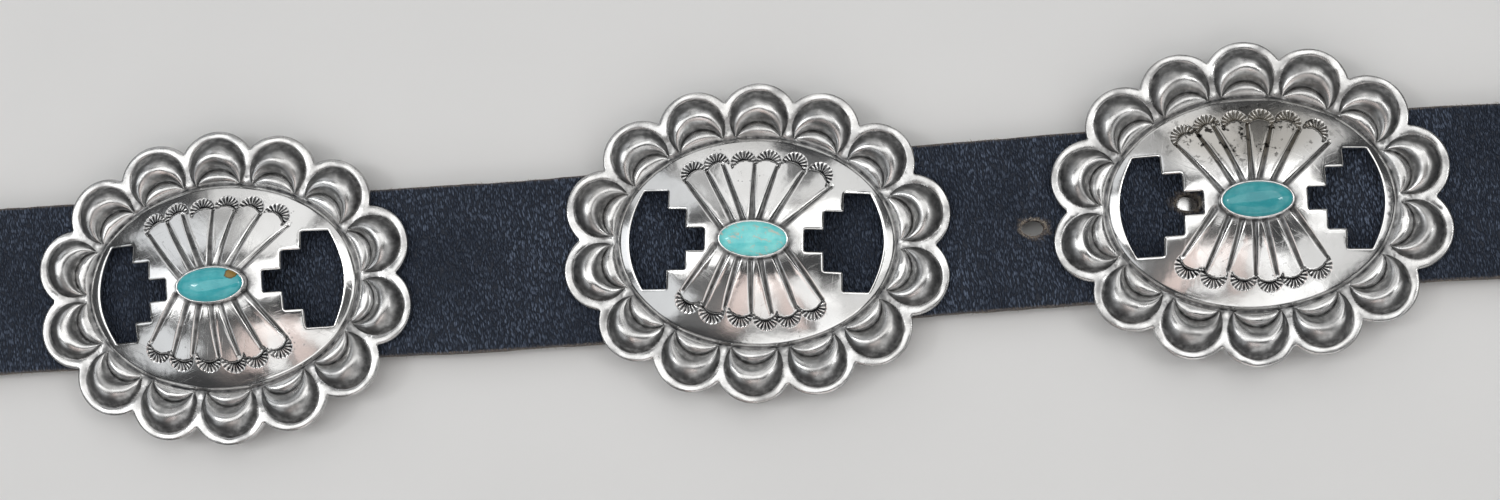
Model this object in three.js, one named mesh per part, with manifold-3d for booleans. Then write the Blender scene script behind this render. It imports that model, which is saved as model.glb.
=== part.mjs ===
// Concho belt: a leather strap with domed, scalloped silver conchos and turquoise stones.
// Millimetres. +X runs along the strap from the buckle to the tip, +Y across it, +Z up.
// The belt lies flat with its conchos facing up, and the origin is under its middle.
import * as THREE from "three";
import { mergeVertices } from "three/addons/utils/BufferGeometryUtils.js";
import Module from "manifold-3d";

const wasm = await Module();
wasm.setup();

// Strap
const STRAP_WIDTH = 26.8;
const STRAP_THICKNESS = 2.6;
const STRAP_STATION = 26;
const TIP_LENGTH = 17;
const TIP_BLUNTNESS = 0.3;
const TIP_STATIONS = 4;

// Clearance between pieces that touch
const FIT_GAP = 0.3;

// Holes for the buckle's tongue
const HOLE_PITCH = 23.9;
const HOLE_LENGTH = 3.7;
const HOLE_WIDTH = 2.5;
const HOLE_FACETS = 8;
const FIRST_HOLE_BEFORE_LAST_CONCHO = 33.1;
const LAST_HOLE_TO_TIP = 115;

// Row of conchos
const CONCHO_COUNT = 9;
const CONCHO_PITCH = 80.55;
const FOLD_TO_FIRST_CONCHO = 9;

// Concho plate
const CONCHO_LENGTH = 60.2;
const CONCHO_WIDTH = 50.1;
const SHEET_THICKNESS = 1.1;
const DOME_RISE = 5;
const OVAL_INSET_LONG = 8.3;
const OVAL_INSET_SHORT = 8.7;
const OVAL_STEP = 0.35;
const OVAL_STEP_WIDTH = 0.7;
const DOME_SIDES = 28;
const HOLLOW_SIDES = 14;
const DOME_BEND = 0.55;

// Scallops and the raised moons on them. The lobes overlap by a share of their width.
const LOBE_COUNT = 14;
const LOBE_OVERLAP = 0.29;
const LOBE_FACETS = 4;
const LOBE_RING_PASSES = 8;
const LOBE_RING_SAMPLES = 1400;
const MOON_MARGIN = 1.2;
const MOON_SPACING = 0.55;
const MOON_BITE_RADIUS = 3.7;
const MOON_BITE_SHIFT = 4.1;
const MOON_RISE = 1.3;
const MOON_FACETS = 5;
const MOON_HORN_REACH = 0.9;

// Pierced windows with stepped inner sides
const WINDOW_BAND = 2;
const WINDOW_WAIST = 15.5;
const WINDOW_STEP = 2.95;
const WINDOW_NOSE = 3.4;
const WINDOW_STEPS = 2;
const WINDOW_FACETS = 5;

// Stone and bezel
const STONE_LENGTH = 10.5;
const STONE_WIDTH = 5.4;
const STONE_HEIGHT = 2;
const STONE_GIRDLE = 0.7;
const STONE_POINTEDNESS = 0.12;
const STONE_SIDES = 12;
const STONE_SHOULDER = 0.62;
const STONE_SHOULDER_SIZE = 0.78;
const STONE_CROWN_SIZE = 0.3;
const BEZEL_WALL = 0.5;
const BEZEL_HEIGHT = 1.3;
const BEZEL_ROOT = 0.6;

// Belt loops soldered to the back of each concho
const LOOP_THICKNESS = 1;
const LOOP_WIDTH = 6;
const LOOP_SPACING = 18;
const LOOP_SIDE_ROOM = 1.9;

// Buckle with its tongue
const BUCKLE_SIDE_ROOM = 1.2;
const BUCKLE_SIDE = 5;
const BUCKLE_FRONT = 5.5;
const BUCKLE_BAR = 2.6;
const BUCKLE_OPENING = 20;
const BUCKLE_CORNER = 7;
const BUCKLE_CORNER_FACETS = 5;
const TONGUE_WIDTH = 3.2;
const TONGUE_THICKNESS = 2;
const TONGUE_OVERHANG = 0.8;
const TONGUE_SEAT = 0.3;
const TONGUE_HEEL_SLOPE = 0.75;
const TONGUE_SIDE_ROOM = 0.9;
const FOLD_THICKNESS = 1.7;
const FOLD_LENGTH = 34;
const FOLD_FACETS = 8;
const FOLD_RISE_LENGTH = 20;
const FOLD_RISE_SHARES = [0, 0.35, 0.7];
const SLOT_LENGTH = 15;

// Where each concho sits: the last ones by the tip are listed, and the rest sit evenly.
// Columns: slide along the strap and drift across it in strap widths, and turn in degrees.
const CONCHO_PLACES = [
  { fromLast: 2, slide: 0, drift: -0.05, turn: 0.8 },
  { fromLast: 1, slide: 0.171, drift: 0.013, turn: -4.8 },
  { fromLast: 0, slide: 0, drift: 0.01, turn: -1.6 },
];

// Holes from the buckle's side on. Column: drift across the strap in strap widths.
const HOLES = [{ drift: -0.036 }, { drift: 0.045 }];

// Slight sway of the strap in its own plane.
// Columns: place in concho pitches from the last concho, sway in strap widths.
const STRAP_SWAY = [
  { at: -3.3, sway: 0 },
  { at: -2.5, sway: 0.034 },
  { at: -1.4, sway: -0.0255 },
  { at: -0.3, sway: 0.015 },
  { at: 0.3, sway: 0.014 },
  { at: 0.75, sway: -0.004 },
  { at: 1, sway: 0 },
];

// Heights of the stack, from the surface that the loops rest on
const strapBottom = LOOP_THICKNESS + FIT_GAP;
const strapTop = strapBottom + STRAP_THICKNESS;
const rimBottom = strapTop + FIT_GAP;
const rimTop = rimBottom + SHEET_THICKNESS;
const domeTop = rimTop + DOME_RISE;
const stoneBottom = domeTop + FIT_GAP;

// Places along the strap, from the buckle's bar
const firstConchoX = FOLD_LENGTH + FOLD_TO_FIRST_CONCHO + CONCHO_LENGTH / 2;
const lastConchoX = firstConchoX + (CONCHO_COUNT - 1) * CONCHO_PITCH;
const firstHoleX = lastConchoX - FIRST_HOLE_BEFORE_LAST_CONCHO;
const tipX = firstHoleX + (HOLES.length - 1) * HOLE_PITCH + LAST_HOLE_TO_TIP;

// Oval inside the rim
const ovalLong = CONCHO_LENGTH / 2 - OVAL_INSET_LONG;
const ovalShort = CONCHO_WIDTH / 2 - OVAL_INSET_SHORT;

// Bar of the buckle and the fold of the strap round it
const barReach = Math.hypot(BUCKLE_BAR, BUCKLE_BAR) / 2;
const foldInner = barReach + FIT_GAP;
const barHeight = FOLD_THICKNESS + foldInner;

const silver = { color: 0xd4d2cc, metalness: 1, roughness: 0.22 };
const leather = { color: 0x1a1d26, metalness: 0, roughness: 0.6 };
const turquoise = { color: 0x3fb3ad, metalness: 0, roughness: 0.25 };

// Turns a three.js geometry into a solid that can be joined and cut.
function solidOf(geometry) {
  const bare = geometry.clone();
  bare.deleteAttribute("normal");
  bare.deleteAttribute("uv");
  const merged = mergeVertices(bare, 1e-4);
  return new wasm.Manifold(
    new wasm.Mesh({
      numProp: 3,
      vertProperties: new Float32Array(merged.attributes.position.array),
      triVerts: new Uint32Array(merged.index.array),
    }),
  );
}

// Turns a solid back into a three.js geometry.
function geometryOf(solid) {
  const mesh = solid.getMesh();
  const geometry = new THREE.BufferGeometry();
  geometry.setAttribute("position", new THREE.BufferAttribute(mesh.vertProperties, 3));
  geometry.setIndex(new THREE.BufferAttribute(mesh.triVerts, 1));
  geometry.computeVertexNormals();
  return geometry;
}

function meshOf(name, solid, finish) {
  const mesh = new THREE.Mesh(geometryOf(solid), new THREE.MeshStandardMaterial(finish));
  mesh.name = name;
  return mesh;
}

// Closed loft through rings of equally many points, each ring counter-clockwise seen from
// the end of the path, with a flat cap at each end.
function loftOf(rings) {
  const count = rings[0].length;
  const positions = rings.flat().flatMap((p) => [p.x, p.y, p.z]);
  const faces = [];
  for (let r = 0; r + 1 < rings.length; r++) {
    for (let i = 0; i < count; i++) {
      const a = r * count + i;
      const b = r * count + ((i + 1) % count);
      faces.push(a, b, b + count, a, b + count, a + count);
    }
  }
  const last = (rings.length - 1) * count;
  for (let i = 1; i + 1 < count; i++) {
    faces.push(0, i + 1, i);
    faces.push(last, last + i, last + i + 1);
  }
  const geometry = new THREE.BufferGeometry();
  geometry.setAttribute("position", new THREE.Float32BufferAttribute(positions, 3));
  geometry.setIndex(faces);
  return solidOf(geometry);
}

// Prism of a flat outline between two heights.
function prismOf(points, bottom, top) {
  const prism = new THREE.ExtrudeGeometry(new THREE.Shape(points), {
    depth: top - bottom,
    bevelEnabled: false,
  });
  prism.translate(0, 0, bottom);
  return solidOf(prism);
}

// Points of an arc of an ellipse, from one angle to another, both ends included.
function arcPoints(cx, cy, rx, ry, from, to, facets) {
  const points = [];
  for (let i = 0; i <= facets; i++) {
    const angle = from + ((to - from) * i) / facets;
    points.push(new THREE.Vector2(cx + rx * Math.cos(angle), cy + ry * Math.sin(angle)));
  }
  return points;
}

// Reads a table smoothly between its rows, and holds its end values beyond them.
function readTable(rows, key, value, at) {
  if (at <= rows[0][key]) return rows[0][value];
  for (let i = 0; i + 1 < rows.length; i++) {
    const low = rows[i];
    const high = rows[i + 1];
    if (at < high[key]) {
      const share = THREE.MathUtils.smoothstep(at, low[key], high[key]);
      return THREE.MathUtils.lerp(low[value], high[value], share);
    }
  }
  return rows[rows.length - 1][value];
}

function swayAt(x) {
  return STRAP_WIDTH * readTable(STRAP_SWAY, "at", "sway", (x - lastConchoX) / CONCHO_PITCH);
}

// Lobes spaced evenly round an ellipse. The ellipse and the lobes' radius are set so that
// the lobes overlap by their share and reach the concho's full length and width.
// Each lobe has its centre, and the unit vector from it towards the oval.
function lobeRing() {
  const ring = new THREE.EllipseCurve(0, 0, CONCHO_LENGTH / 2, CONCHO_WIDTH / 2);
  ring.arcLengthDivisions = LOBE_RING_SAMPLES;
  const places = Array.from({ length: LOBE_COUNT }, (_, i) => (i + 0.5) / LOBE_COUNT);
  let spacing = 0;
  let radius = 0;
  for (let pass = 0; pass < LOBE_RING_PASSES; pass++) {
    const first = ring.getPointAt(places[0]);
    spacing = first.distanceTo(ring.getPointAt(places[1]));
    radius = ((1 + LOBE_OVERLAP) * spacing) / 2;
    ring.xRadius = ((CONCHO_LENGTH / 2 - radius) * ring.xRadius) / first.x;
    ring.yRadius = CONCHO_WIDTH / 2 - radius;
    ring.updateArcLengths();
  }
  const lobes = places.map((place) => {
    const centre = ring.getPointAt(place);
    const inward = new THREE.Vector2(
      -centre.x / ring.xRadius ** 2,
      -centre.y / ring.yRadius ** 2,
    ).normalize();
    return { centre, inward };
  });
  return { lobes, radius, spacing };
}

// Outer crossing of two neighbouring lobes.
function cuspBetween(first, second, radius) {
  const across = second.clone().sub(first);
  const half = across.length() / 2;
  const out = new THREE.Vector2(across.y, -across.x).normalize();
  return first
    .clone()
    .add(second)
    .multiplyScalar(0.5)
    .addScaledVector(out, Math.sqrt(radius ** 2 - half ** 2));
}

// Scalloped outline of a concho, one arc for each lobe.
function scallopedOutline({ lobes, radius }) {
  const points = [];
  lobes.forEach(({ centre }, i) => {
    const before = lobes[(i + LOBE_COUNT - 1) % LOBE_COUNT].centre;
    const after = lobes[(i + 1) % LOBE_COUNT].centre;
    const start = cuspBetween(before, centre, radius).sub(centre).angle();
    let end = cuspBetween(centre, after, radius).sub(centre).angle();
    if (end < start) end += 2 * Math.PI;
    const arc = arcPoints(centre.x, centre.y, radius, radius, start, end, LOBE_FACETS);
    points.push(...arc.slice(0, -1));
  });
  return points;
}

// Solid of revolution about +Z, squeezed to the oval's proportions.
function ovalTurned(profile, sides) {
  const turned = new THREE.LatheGeometry(profile, sides);
  turned.rotateX(Math.PI / 2);
  turned.scale(1, ovalShort / ovalLong, 1);
  return solidOf(turned);
}

// Domed sheet with a flat rim, before its edge is scalloped. Its back is hollow.
function domedSheet() {
  const reach = 2 * CONCHO_LENGTH;
  const below = rimBottom - SHEET_THICKNESS;
  const stepFoot = ovalLong - OVAL_STEP_WIDTH;
  const hollowFoot = ovalLong - SHEET_THICKNESS;
  const rise = (r) => DOME_RISE * (1 - (r / ovalLong) ** 2);
  const bend = DOME_BEND * ovalLong;
  const front = [
    [0, rimBottom],
    [reach, rimBottom],
    [reach, rimTop],
    [ovalLong, rimTop],
    [stepFoot, rimTop + rise(stepFoot) + OVAL_STEP],
    [bend, rimTop + rise(bend)],
    [0, domeTop],
  ];
  const hollow = [
    [0, below],
    [hollowFoot, below],
    [hollowFoot, rimBottom + rise(hollowFoot) / 2],
    [bend, rimBottom + rise(bend)],
    [0, domeTop - SHEET_THICKNESS],
  ];
  const profile = (rows) => rows.map(([r, z]) => new THREE.Vector2(r, z));
  return ovalTurned(profile(front), DOME_SIDES).subtract(
    ovalTurned(profile(hollow), HOLLOW_SIDES),
  );
}

// Raised moon on one lobe: a ridge between an outer arc and the arc of the bite.
function moonOn({ centre, inward }, lobeRadius, spacing) {
  const radius = (spacing - MOON_SPACING) / 2;
  const outward = lobeRadius - MOON_MARGIN - radius;
  const shift = MOON_BITE_SHIFT;
  const hornDepth = (radius ** 2 - MOON_BITE_RADIUS ** 2 + shift ** 2) / (2 * shift);
  const hornSpread = Math.sqrt(radius ** 2 - hornDepth ** 2);
  const outerHalf = Math.PI - Math.atan2(hornSpread, hornDepth);
  const innerHalf = Math.atan2(hornSpread, shift - hornDepth);
  const side = new THREE.Vector2(inward.y, -inward.x);
  const place = (along, across, height) => {
    const flat = centre
      .clone()
      .addScaledVector(inward, along - outward)
      .addScaledVector(side, across);
    return new THREE.Vector3(flat.x, flat.y, height);
  };
  const outer = (share) => {
    const angle = share * outerHalf;
    return [-radius * Math.cos(angle), radius * Math.sin(angle)];
  };
  const inner = (share) => {
    const angle = share * innerHalf;
    return [shift - MOON_BITE_RADIUS * Math.cos(angle), MOON_BITE_RADIUS * Math.sin(angle)];
  };
  const rings = [];
  for (let i = 0; i <= MOON_FACETS; i++) {
    const share = ((2 * i) / MOON_FACETS - 1) * MOON_HORN_REACH;
    const [outAlong, outAcross] = outer(share);
    const [inAlong, inAcross] = inner(share);
    const rise = MOON_RISE * (1 - share ** 4);
    rings.push([
      place(outAlong, outAcross, rimTop),
      place(inAlong, inAcross, rimTop),
      place((outAlong + inAlong) / 2, (outAcross + inAcross) / 2, rimTop + rise),
    ]);
  }
  return loftOf(rings);
}

// Outline of the right-hand window: steps on the inner side and a curve on the outer one.
function windowOutline() {
  const curveLong = ovalLong - WINDOW_BAND;
  const curveShort = ovalShort - WINDOW_BAND;
  const nose = WINDOW_NOSE / 2;
  const waist = WINDOW_WAIST / 2;
  const top = nose + WINDOW_STEPS * WINDOW_STEP;
  const upper = [];
  for (let i = 0; i <= WINDOW_STEPS; i++) {
    upper.push(new THREE.Vector2(waist + i * WINDOW_STEP, nose + (i - 1) * WINDOW_STEP));
    upper.push(new THREE.Vector2(waist + i * WINDOW_STEP, nose + i * WINDOW_STEP));
  }
  const steps = upper.slice(1);
  const mirrored = steps.map((p) => new THREE.Vector2(p.x, -p.y)).reverse();
  const corner = Math.asin(top / curveShort);
  const curve = arcPoints(0, 0, curveLong, curveShort, corner, -corner, WINDOW_FACETS);
  return [...steps, ...curve, ...mirrored].reverse();
}

// Outline of the stone, or of a wall a given distance outside it, with drawn-out ends.
function stoneOutline(offset, sides) {
  const points = [];
  for (let i = 0; i < sides; i++) {
    const angle = (2 * Math.PI * i) / sides;
    const draw = 1 - STONE_POINTEDNESS * Math.cos(angle) ** 2;
    points.push(
      new THREE.Vector2(
        (STONE_LENGTH / 2 + offset) * Math.cos(angle),
        (STONE_WIDTH / 2 + offset) * Math.sin(angle) * draw,
      ),
    );
  }
  return points;
}

function bezel() {
  const bottom = domeTop - BEZEL_ROOT;
  const top = domeTop + BEZEL_HEIGHT;
  const outside = prismOf(stoneOutline(FIT_GAP + BEZEL_WALL, STONE_SIDES), bottom, top);
  const inside = prismOf(stoneOutline(FIT_GAP, STONE_SIDES), domeTop, top + FIT_GAP);
  return outside.subtract(inside);
}

function stone() {
  const levels = [
    { height: 0, size: 1 },
    { height: STONE_GIRDLE, size: 1 },
    {
      height: THREE.MathUtils.lerp(STONE_GIRDLE, STONE_HEIGHT, STONE_SHOULDER),
      size: STONE_SHOULDER_SIZE,
    },
    { height: STONE_HEIGHT, size: STONE_CROWN_SIZE },
  ];
  const outline = stoneOutline(0, STONE_SIDES);
  return loftOf(
    levels.map(({ height, size }) =>
      outline.map((p) => new THREE.Vector3(p.x * size, p.y * size, stoneBottom + height)),
    ),
  );
}

// Flat belt loop: a bar under the strap with a post up to the rim on each side of it.
function beltLoop(x) {
  const inner = STRAP_WIDTH / 2 + LOOP_SIDE_ROOM;
  const outer = inner + LOOP_THICKNESS;
  const top = rimBottom + SHEET_THICKNESS / 2;
  const outline = [
    [-outer, 0],
    [outer, 0],
    [outer, top],
    [inner, top],
    [inner, LOOP_THICKNESS],
    [-inner, LOOP_THICKNESS],
    [-inner, top],
    [-outer, top],
  ].map(([across, height]) => new THREE.Vector2(across, height));
  const loop = new THREE.ExtrudeGeometry(new THREE.Shape(outline), {
    depth: LOOP_WIDTH,
    bevelEnabled: false,
  });
  loop.rotateX(Math.PI / 2);
  loop.rotateZ(Math.PI / 2);
  loop.translate(x - LOOP_WIDTH / 2, 0, 0);
  return solidOf(loop);
}

// Concho plate with its moons, windows, bezel and belt loops, soldered into one piece.
function concho() {
  const below = 0;
  const above = domeTop + STONE_HEIGHT;
  const ring = lobeRing();
  let plate = domedSheet().intersect(prismOf(scallopedOutline(ring), below, above));
  for (const lobe of ring.lobes) plate = plate.add(moonOn(lobe, ring.radius, ring.spacing));
  const window = windowOutline();
  const mirrored = window.map((p) => new THREE.Vector2(-p.x, p.y)).reverse();
  plate = plate.subtract(prismOf(window, below, above));
  plate = plate.subtract(prismOf(mirrored, below, above));
  plate = plate.add(bezel());
  for (const side of [-1, 1]) plate = plate.add(beltLoop((side * LOOP_SPACING) / 2));
  return plate;
}

// One cross-section of the strap: a rectangle between its inner and its outer face.
function ribbonRing(innerX, innerZ, outerX, outerZ, width) {
  const middle = swayAt(innerX);
  const half = width / 2;
  return [
    new THREE.Vector3(innerX, middle - half, innerZ),
    new THREE.Vector3(outerX, middle - half, outerZ),
    new THREE.Vector3(outerX, middle + half, outerZ),
    new THREE.Vector3(innerX, middle + half, innerZ),
  ];
}

// Sections of the strap's flat stretch, from its rounded tip to the end of the fold.
function flatSections() {
  const rings = [];
  for (let i = 0; i < TIP_STATIONS; i++) {
    const share = i / TIP_STATIONS;
    const narrow = THREE.MathUtils.lerp(TIP_BLUNTNESS, 1, Math.sin((share * Math.PI) / 2));
    const x = tipX - TIP_LENGTH * share ** 2;
    rings.push(ribbonRing(x, strapBottom, x, strapTop, STRAP_WIDTH * narrow));
  }
  const flatStart = tipX - TIP_LENGTH;
  const flatEnd = FOLD_LENGTH + FOLD_THICKNESS;
  const stations = Math.ceil((flatStart - flatEnd) / STRAP_STATION);
  for (let i = 0; i <= stations; i++) {
    const x = THREE.MathUtils.lerp(flatStart, flatEnd, i / stations);
    rings.push(ribbonRing(x, strapBottom, x, strapTop, STRAP_WIDTH));
  }
  return rings;
}

// Sections of the thinned end: up to the buckle's bar, round it and back underneath.
function foldedSections() {
  const rings = [];
  const liftedLow = FOLD_THICKNESS + FIT_GAP;
  const foldLow = barHeight + foldInner;
  for (const share of FOLD_RISE_SHARES) {
    const x = FOLD_RISE_LENGTH * (1 - share);
    const low = THREE.MathUtils.lerp(liftedLow, foldLow, share ** 2);
    const high = low + THREE.MathUtils.lerp(STRAP_THICKNESS, FOLD_THICKNESS, share);
    rings.push(ribbonRing(x, low, x, high, STRAP_WIDTH));
  }
  const foldOuter = foldInner + FOLD_THICKNESS;
  for (let i = 0; i <= FOLD_FACETS; i++) {
    const angle = Math.PI / 2 + (Math.PI * i) / FOLD_FACETS;
    const [inX, inZ] = [foldInner * Math.cos(angle), foldInner * Math.sin(angle)];
    const [outX, outZ] = [foldOuter * Math.cos(angle), foldOuter * Math.sin(angle)];
    rings.push(ribbonRing(inX, barHeight + inZ, outX, barHeight + outZ, STRAP_WIDTH));
  }
  rings.push(ribbonRing(FOLD_LENGTH, FOLD_THICKNESS, FOLD_LENGTH, 0, STRAP_WIDTH));
  return rings;
}

// Strap: a ribbon from the tip to the fold, with its holes and the slot for the tongue.
function strap() {
  let ribbon = loftOf([...flatSections(), ...foldedSections()]);
  HOLES.forEach(({ drift }, i) => {
    const x = firstHoleX + i * HOLE_PITCH;
    const y = swayAt(x) + drift * STRAP_WIDTH;
    const round = arcPoints(x, y, HOLE_LENGTH / 2, HOLE_WIDTH / 2, 0, 2 * Math.PI, HOLE_FACETS);
    ribbon = ribbon.subtract(prismOf(round.slice(0, -1), 0, rimBottom));
  });
  const slotWidth = TONGUE_WIDTH + 2 * TONGUE_SIDE_ROOM;
  const slot = new THREE.BoxGeometry(2 * SLOT_LENGTH, slotWidth, 2 * domeTop);
  return ribbon.subtract(solidOf(slot));
}

// Rectangle with rounded corners, as a shape or as a hole in one.
function roundedOutline(left, right, halfWidth, corner) {
  const quarter = Math.PI / 2;
  const turn = (sideX, sideY, from) => {
    const x = sideX > 0 ? right - corner : left + corner;
    const y = sideY * (halfWidth - corner);
    return arcPoints(x, y, corner, corner, from, from + quarter, BUCKLE_CORNER_FACETS);
  };
  return [
    ...turn(1, -1, -quarter),
    ...turn(1, 1, 0),
    ...turn(-1, 1, quarter),
    ...turn(-1, -1, 2 * quarter),
  ];
}

// Plain buckle: a rounded frame with its tongue fixed across it.
function buckle() {
  const inner = STRAP_WIDTH / 2 + BUCKLE_SIDE_ROOM;
  const heel = BUCKLE_BAR / 2;
  const front = -heel - BUCKLE_OPENING;
  const bottom = barHeight - BUCKLE_BAR / 2;
  const top = barHeight + BUCKLE_BAR / 2;
  const outline = roundedOutline(
    front - BUCKLE_FRONT, heel, inner + BUCKLE_SIDE, BUCKLE_CORNER,
  );
  const hole = roundedOutline(front, -heel, inner, BUCKLE_CORNER - BUCKLE_SIDE);
  const frame = prismOf(outline, bottom, top).subtract(prismOf(hole, 0, 2 * top));
  const end = front - BUCKLE_FRONT - TONGUE_OVERHANG;
  const profile = [
    [heel, top],
    [heel / 2, top + TONGUE_THICKNESS * TONGUE_HEEL_SLOPE],
    [-heel, top + TONGUE_THICKNESS],
    [front, top + TONGUE_THICKNESS],
    [end, top + TONGUE_THICKNESS / 2],
    [end, top],
    [front, top - TONGUE_SEAT],
    [-heel, top - TONGUE_SEAT],
  ].map(([x, z]) => new THREE.Vector2(x, z));
  const tongue = new THREE.ExtrudeGeometry(new THREE.Shape(profile), {
    depth: TONGUE_WIDTH,
    bevelEnabled: false,
  });
  tongue.rotateX(Math.PI / 2);
  tongue.translate(0, TONGUE_WIDTH / 2, 0);
  return frame.add(solidOf(tongue));
}

const belt = new THREE.Group();
belt.add(meshOf("strap", strap(), leather));
belt.add(meshOf("buckle", buckle(), silver));
const plate = concho();
const cabochon = stone();
for (let i = 0; i < CONCHO_COUNT; i++) {
  const place = CONCHO_PLACES.find((row) => row.fromLast === CONCHO_COUNT - 1 - i);
  const { slide, drift, turn } = place ?? { slide: 0, drift: 0, turn: 0 };
  const x = firstConchoX + i * CONCHO_PITCH + slide * STRAP_WIDTH;
  const seat = new THREE.Group();
  seat.add(meshOf("concho_" + (i + 1), plate, silver));
  seat.add(meshOf("stone_" + (i + 1), cabochon, turquoise));
  seat.position.set(x, swayAt(x) + drift * STRAP_WIDTH, 0);
  seat.rotation.z = THREE.MathUtils.degToRad(turn);
  belt.add(seat);
}

// The origin is put under the middle of the belt.
const box = new THREE.Box3().setFromObject(belt, true);
const middle = box.getCenter(new THREE.Vector3());
belt.position.set(-middle.x, -middle.y, -box.min.z);

const part = new THREE.Group();
part.add(belt);
export default part;
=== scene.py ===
"""Looks of a concho belt lying flat: silver conchos with turquoise on a leather strap.

Sizes in the classes are millimetres, and the finished meshes are metres. +X runs along the
strap from the buckle to the tip, +Y across it and +Z out of the conchos' fronts.
"""

import logging
import math
from collections.abc import Callable
from dataclasses import dataclass, field
from enum import Enum

import bpy
import numpy as np
from mathutils import Matrix, Vector
from mathutils.geometry import delaunay_2d_cdt
from mathutils.kdtree import KDTree


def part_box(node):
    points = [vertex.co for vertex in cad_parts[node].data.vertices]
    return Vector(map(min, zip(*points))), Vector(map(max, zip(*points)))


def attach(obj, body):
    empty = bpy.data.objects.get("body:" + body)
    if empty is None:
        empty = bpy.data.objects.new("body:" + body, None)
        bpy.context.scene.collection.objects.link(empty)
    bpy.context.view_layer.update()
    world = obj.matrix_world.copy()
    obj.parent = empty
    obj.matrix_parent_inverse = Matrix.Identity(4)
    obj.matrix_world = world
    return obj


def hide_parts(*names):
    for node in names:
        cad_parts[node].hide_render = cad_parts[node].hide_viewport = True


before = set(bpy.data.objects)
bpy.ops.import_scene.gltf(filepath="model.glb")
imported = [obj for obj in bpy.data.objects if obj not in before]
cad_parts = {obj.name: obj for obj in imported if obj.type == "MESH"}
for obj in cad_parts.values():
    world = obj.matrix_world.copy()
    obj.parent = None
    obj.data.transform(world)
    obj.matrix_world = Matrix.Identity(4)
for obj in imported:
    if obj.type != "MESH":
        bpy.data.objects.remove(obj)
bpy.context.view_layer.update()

MM = 0.001
TURN = 2 * math.pi
log = logging.getLogger("concho_belt")

Array = np.ndarray
Piece = bpy.types.Object
Wire = bpy.types.NodeSocket
Tree = bpy.types.NodeTree
Node = bpy.types.Node
Material = bpy.types.Material


class Slot(Enum):
    """Material slots of the part."""

    SILVER = "silver"
    TURQUOISE = "turquoise"
    LEATHER = "leather"


class Shade(Enum):
    """How much a stone differs from the row's usual colour."""

    SPOTTED = "spotted"
    FLECKED = "flecked"
    DEEP = "deep"


def deselect() -> None:
    """Leaves edit mode and deselects everything."""
    if bpy.context.object and bpy.context.object.mode != "OBJECT":
        bpy.ops.object.mode_set(mode="OBJECT")
    bpy.ops.object.select_all(action="DESELECT")


def activate(obj: Piece) -> None:
    """Makes an object the only selected one and the active one."""
    deselect()
    obj.select_set(True)
    bpy.context.view_layer.objects.active = obj


def coords_of(obj: Piece) -> Array:
    """Points of an object's mesh, in millimetres."""
    flat = np.empty(len(obj.data.vertices) * 3)
    obj.data.vertices.foreach_get("co", flat)
    return flat.reshape(-1, 3) / MM


def set_coords(obj: Piece, points: Array) -> None:
    """Moves the points of an object's mesh, given in millimetres."""
    obj.data.vertices.foreach_set("co", (points * MM).ravel())
    obj.data.update()


def mesh_object(name: str, points: Array, faces: Array | list) -> Piece:
    """Makes an object from points and faces.

    Args:
        name: Name of the object.
        points: Its points in millimetres, one row each.
        faces: Its faces as rows of point numbers.

    Returns:
        The new object, linked into the scene.
    """
    mesh = bpy.data.meshes.new(name)
    mesh.from_pydata((points * MM).tolist(), [], [list(map(int, f)) for f in faces])
    mesh.validate()
    obj = bpy.data.objects.new(name, mesh)
    bpy.context.scene.collection.objects.link(obj)
    return obj


def mark_points(obj: Piece, name: str, values: Array) -> None:
    """Stores one value for each point of a mesh, for the materials to read."""
    layer = obj.data.attributes.new(name, "FLOAT", "POINT")
    layer.data.foreach_set("value", values.astype(np.float32))


def select_all_edit(kind: str = "FACE") -> None:
    """Selects the whole mesh in edit mode, with vertices, edges or faces as the kind."""
    bpy.ops.object.mode_set(mode="EDIT")
    bpy.ops.mesh.select_mode(type=kind)
    bpy.ops.mesh.select_all(action="SELECT")


def face_outwards(obj: Piece) -> None:
    """Turns the faces of a mesh outwards and leaves edit mode."""
    activate(obj)
    select_all_edit()
    bpy.ops.mesh.normals_make_consistent(inside=False)
    bpy.ops.object.mode_set(mode="OBJECT")


def select_faces(obj: Piece, wanted: Callable[[bpy.types.MeshPolygon], bool]) -> None:
    """Selects the faces that pass a test, and nothing else, and enters edit mode."""
    mesh = obj.data
    for items in (mesh.vertices, mesh.edges):
        items.foreach_set("select", [False] * len(items))
    for face in mesh.polygons:
        face.select = bool(wanted(face))
        for corner in face.vertices if face.select else ():
            mesh.vertices[corner].select = True
    bpy.ops.object.mode_set(mode="EDIT")
    bpy.ops.mesh.select_mode(type="FACE")


def extrude(rise: float, grow_x: float = 1.0, grow_y: float = 1.0) -> None:
    """Extrudes the selection upwards, in millimetres, and scales it about the +Z axis."""
    bpy.ops.mesh.extrude_region_move(TRANSFORM_OT_translate={"value": (0, 0, rise * MM)})
    bpy.ops.transform.resize(value=(grow_x, grow_y, 1), center_override=(0, 0, 0))


def bake_place(obj: Piece) -> None:
    """Puts an object's place, turn and size into its mesh."""
    activate(obj)
    bpy.ops.object.transform_apply(location=True, rotation=True, scale=True)


def smooth(obj: Piece, angle: float) -> None:
    """Shades an object smoothly, with edges sharper than an angle in degrees kept."""
    activate(obj)
    bpy.ops.object.shade_smooth_by_angle(angle=math.radians(angle))


def apply_modifier(obj: Piece, kind: str, **settings: object) -> None:
    """Adds a modifier with its settings and applies it."""
    activate(obj)
    modifier = obj.modifiers.new(kind.lower(), kind)
    for key, value in settings.items():
        setattr(modifier, key, value)
    bpy.ops.object.modifier_apply(modifier=modifier.name)


def round_edges(obj: Piece, width: float, segments: int, angle: float) -> None:
    """Bevels the edges that are sharper than an angle in degrees."""
    limit = math.radians(angle)
    apply_modifier(
        obj, "BEVEL", width=width * MM, segments=segments, limit_method="ANGLE", angle_limit=limit
    )


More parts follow.
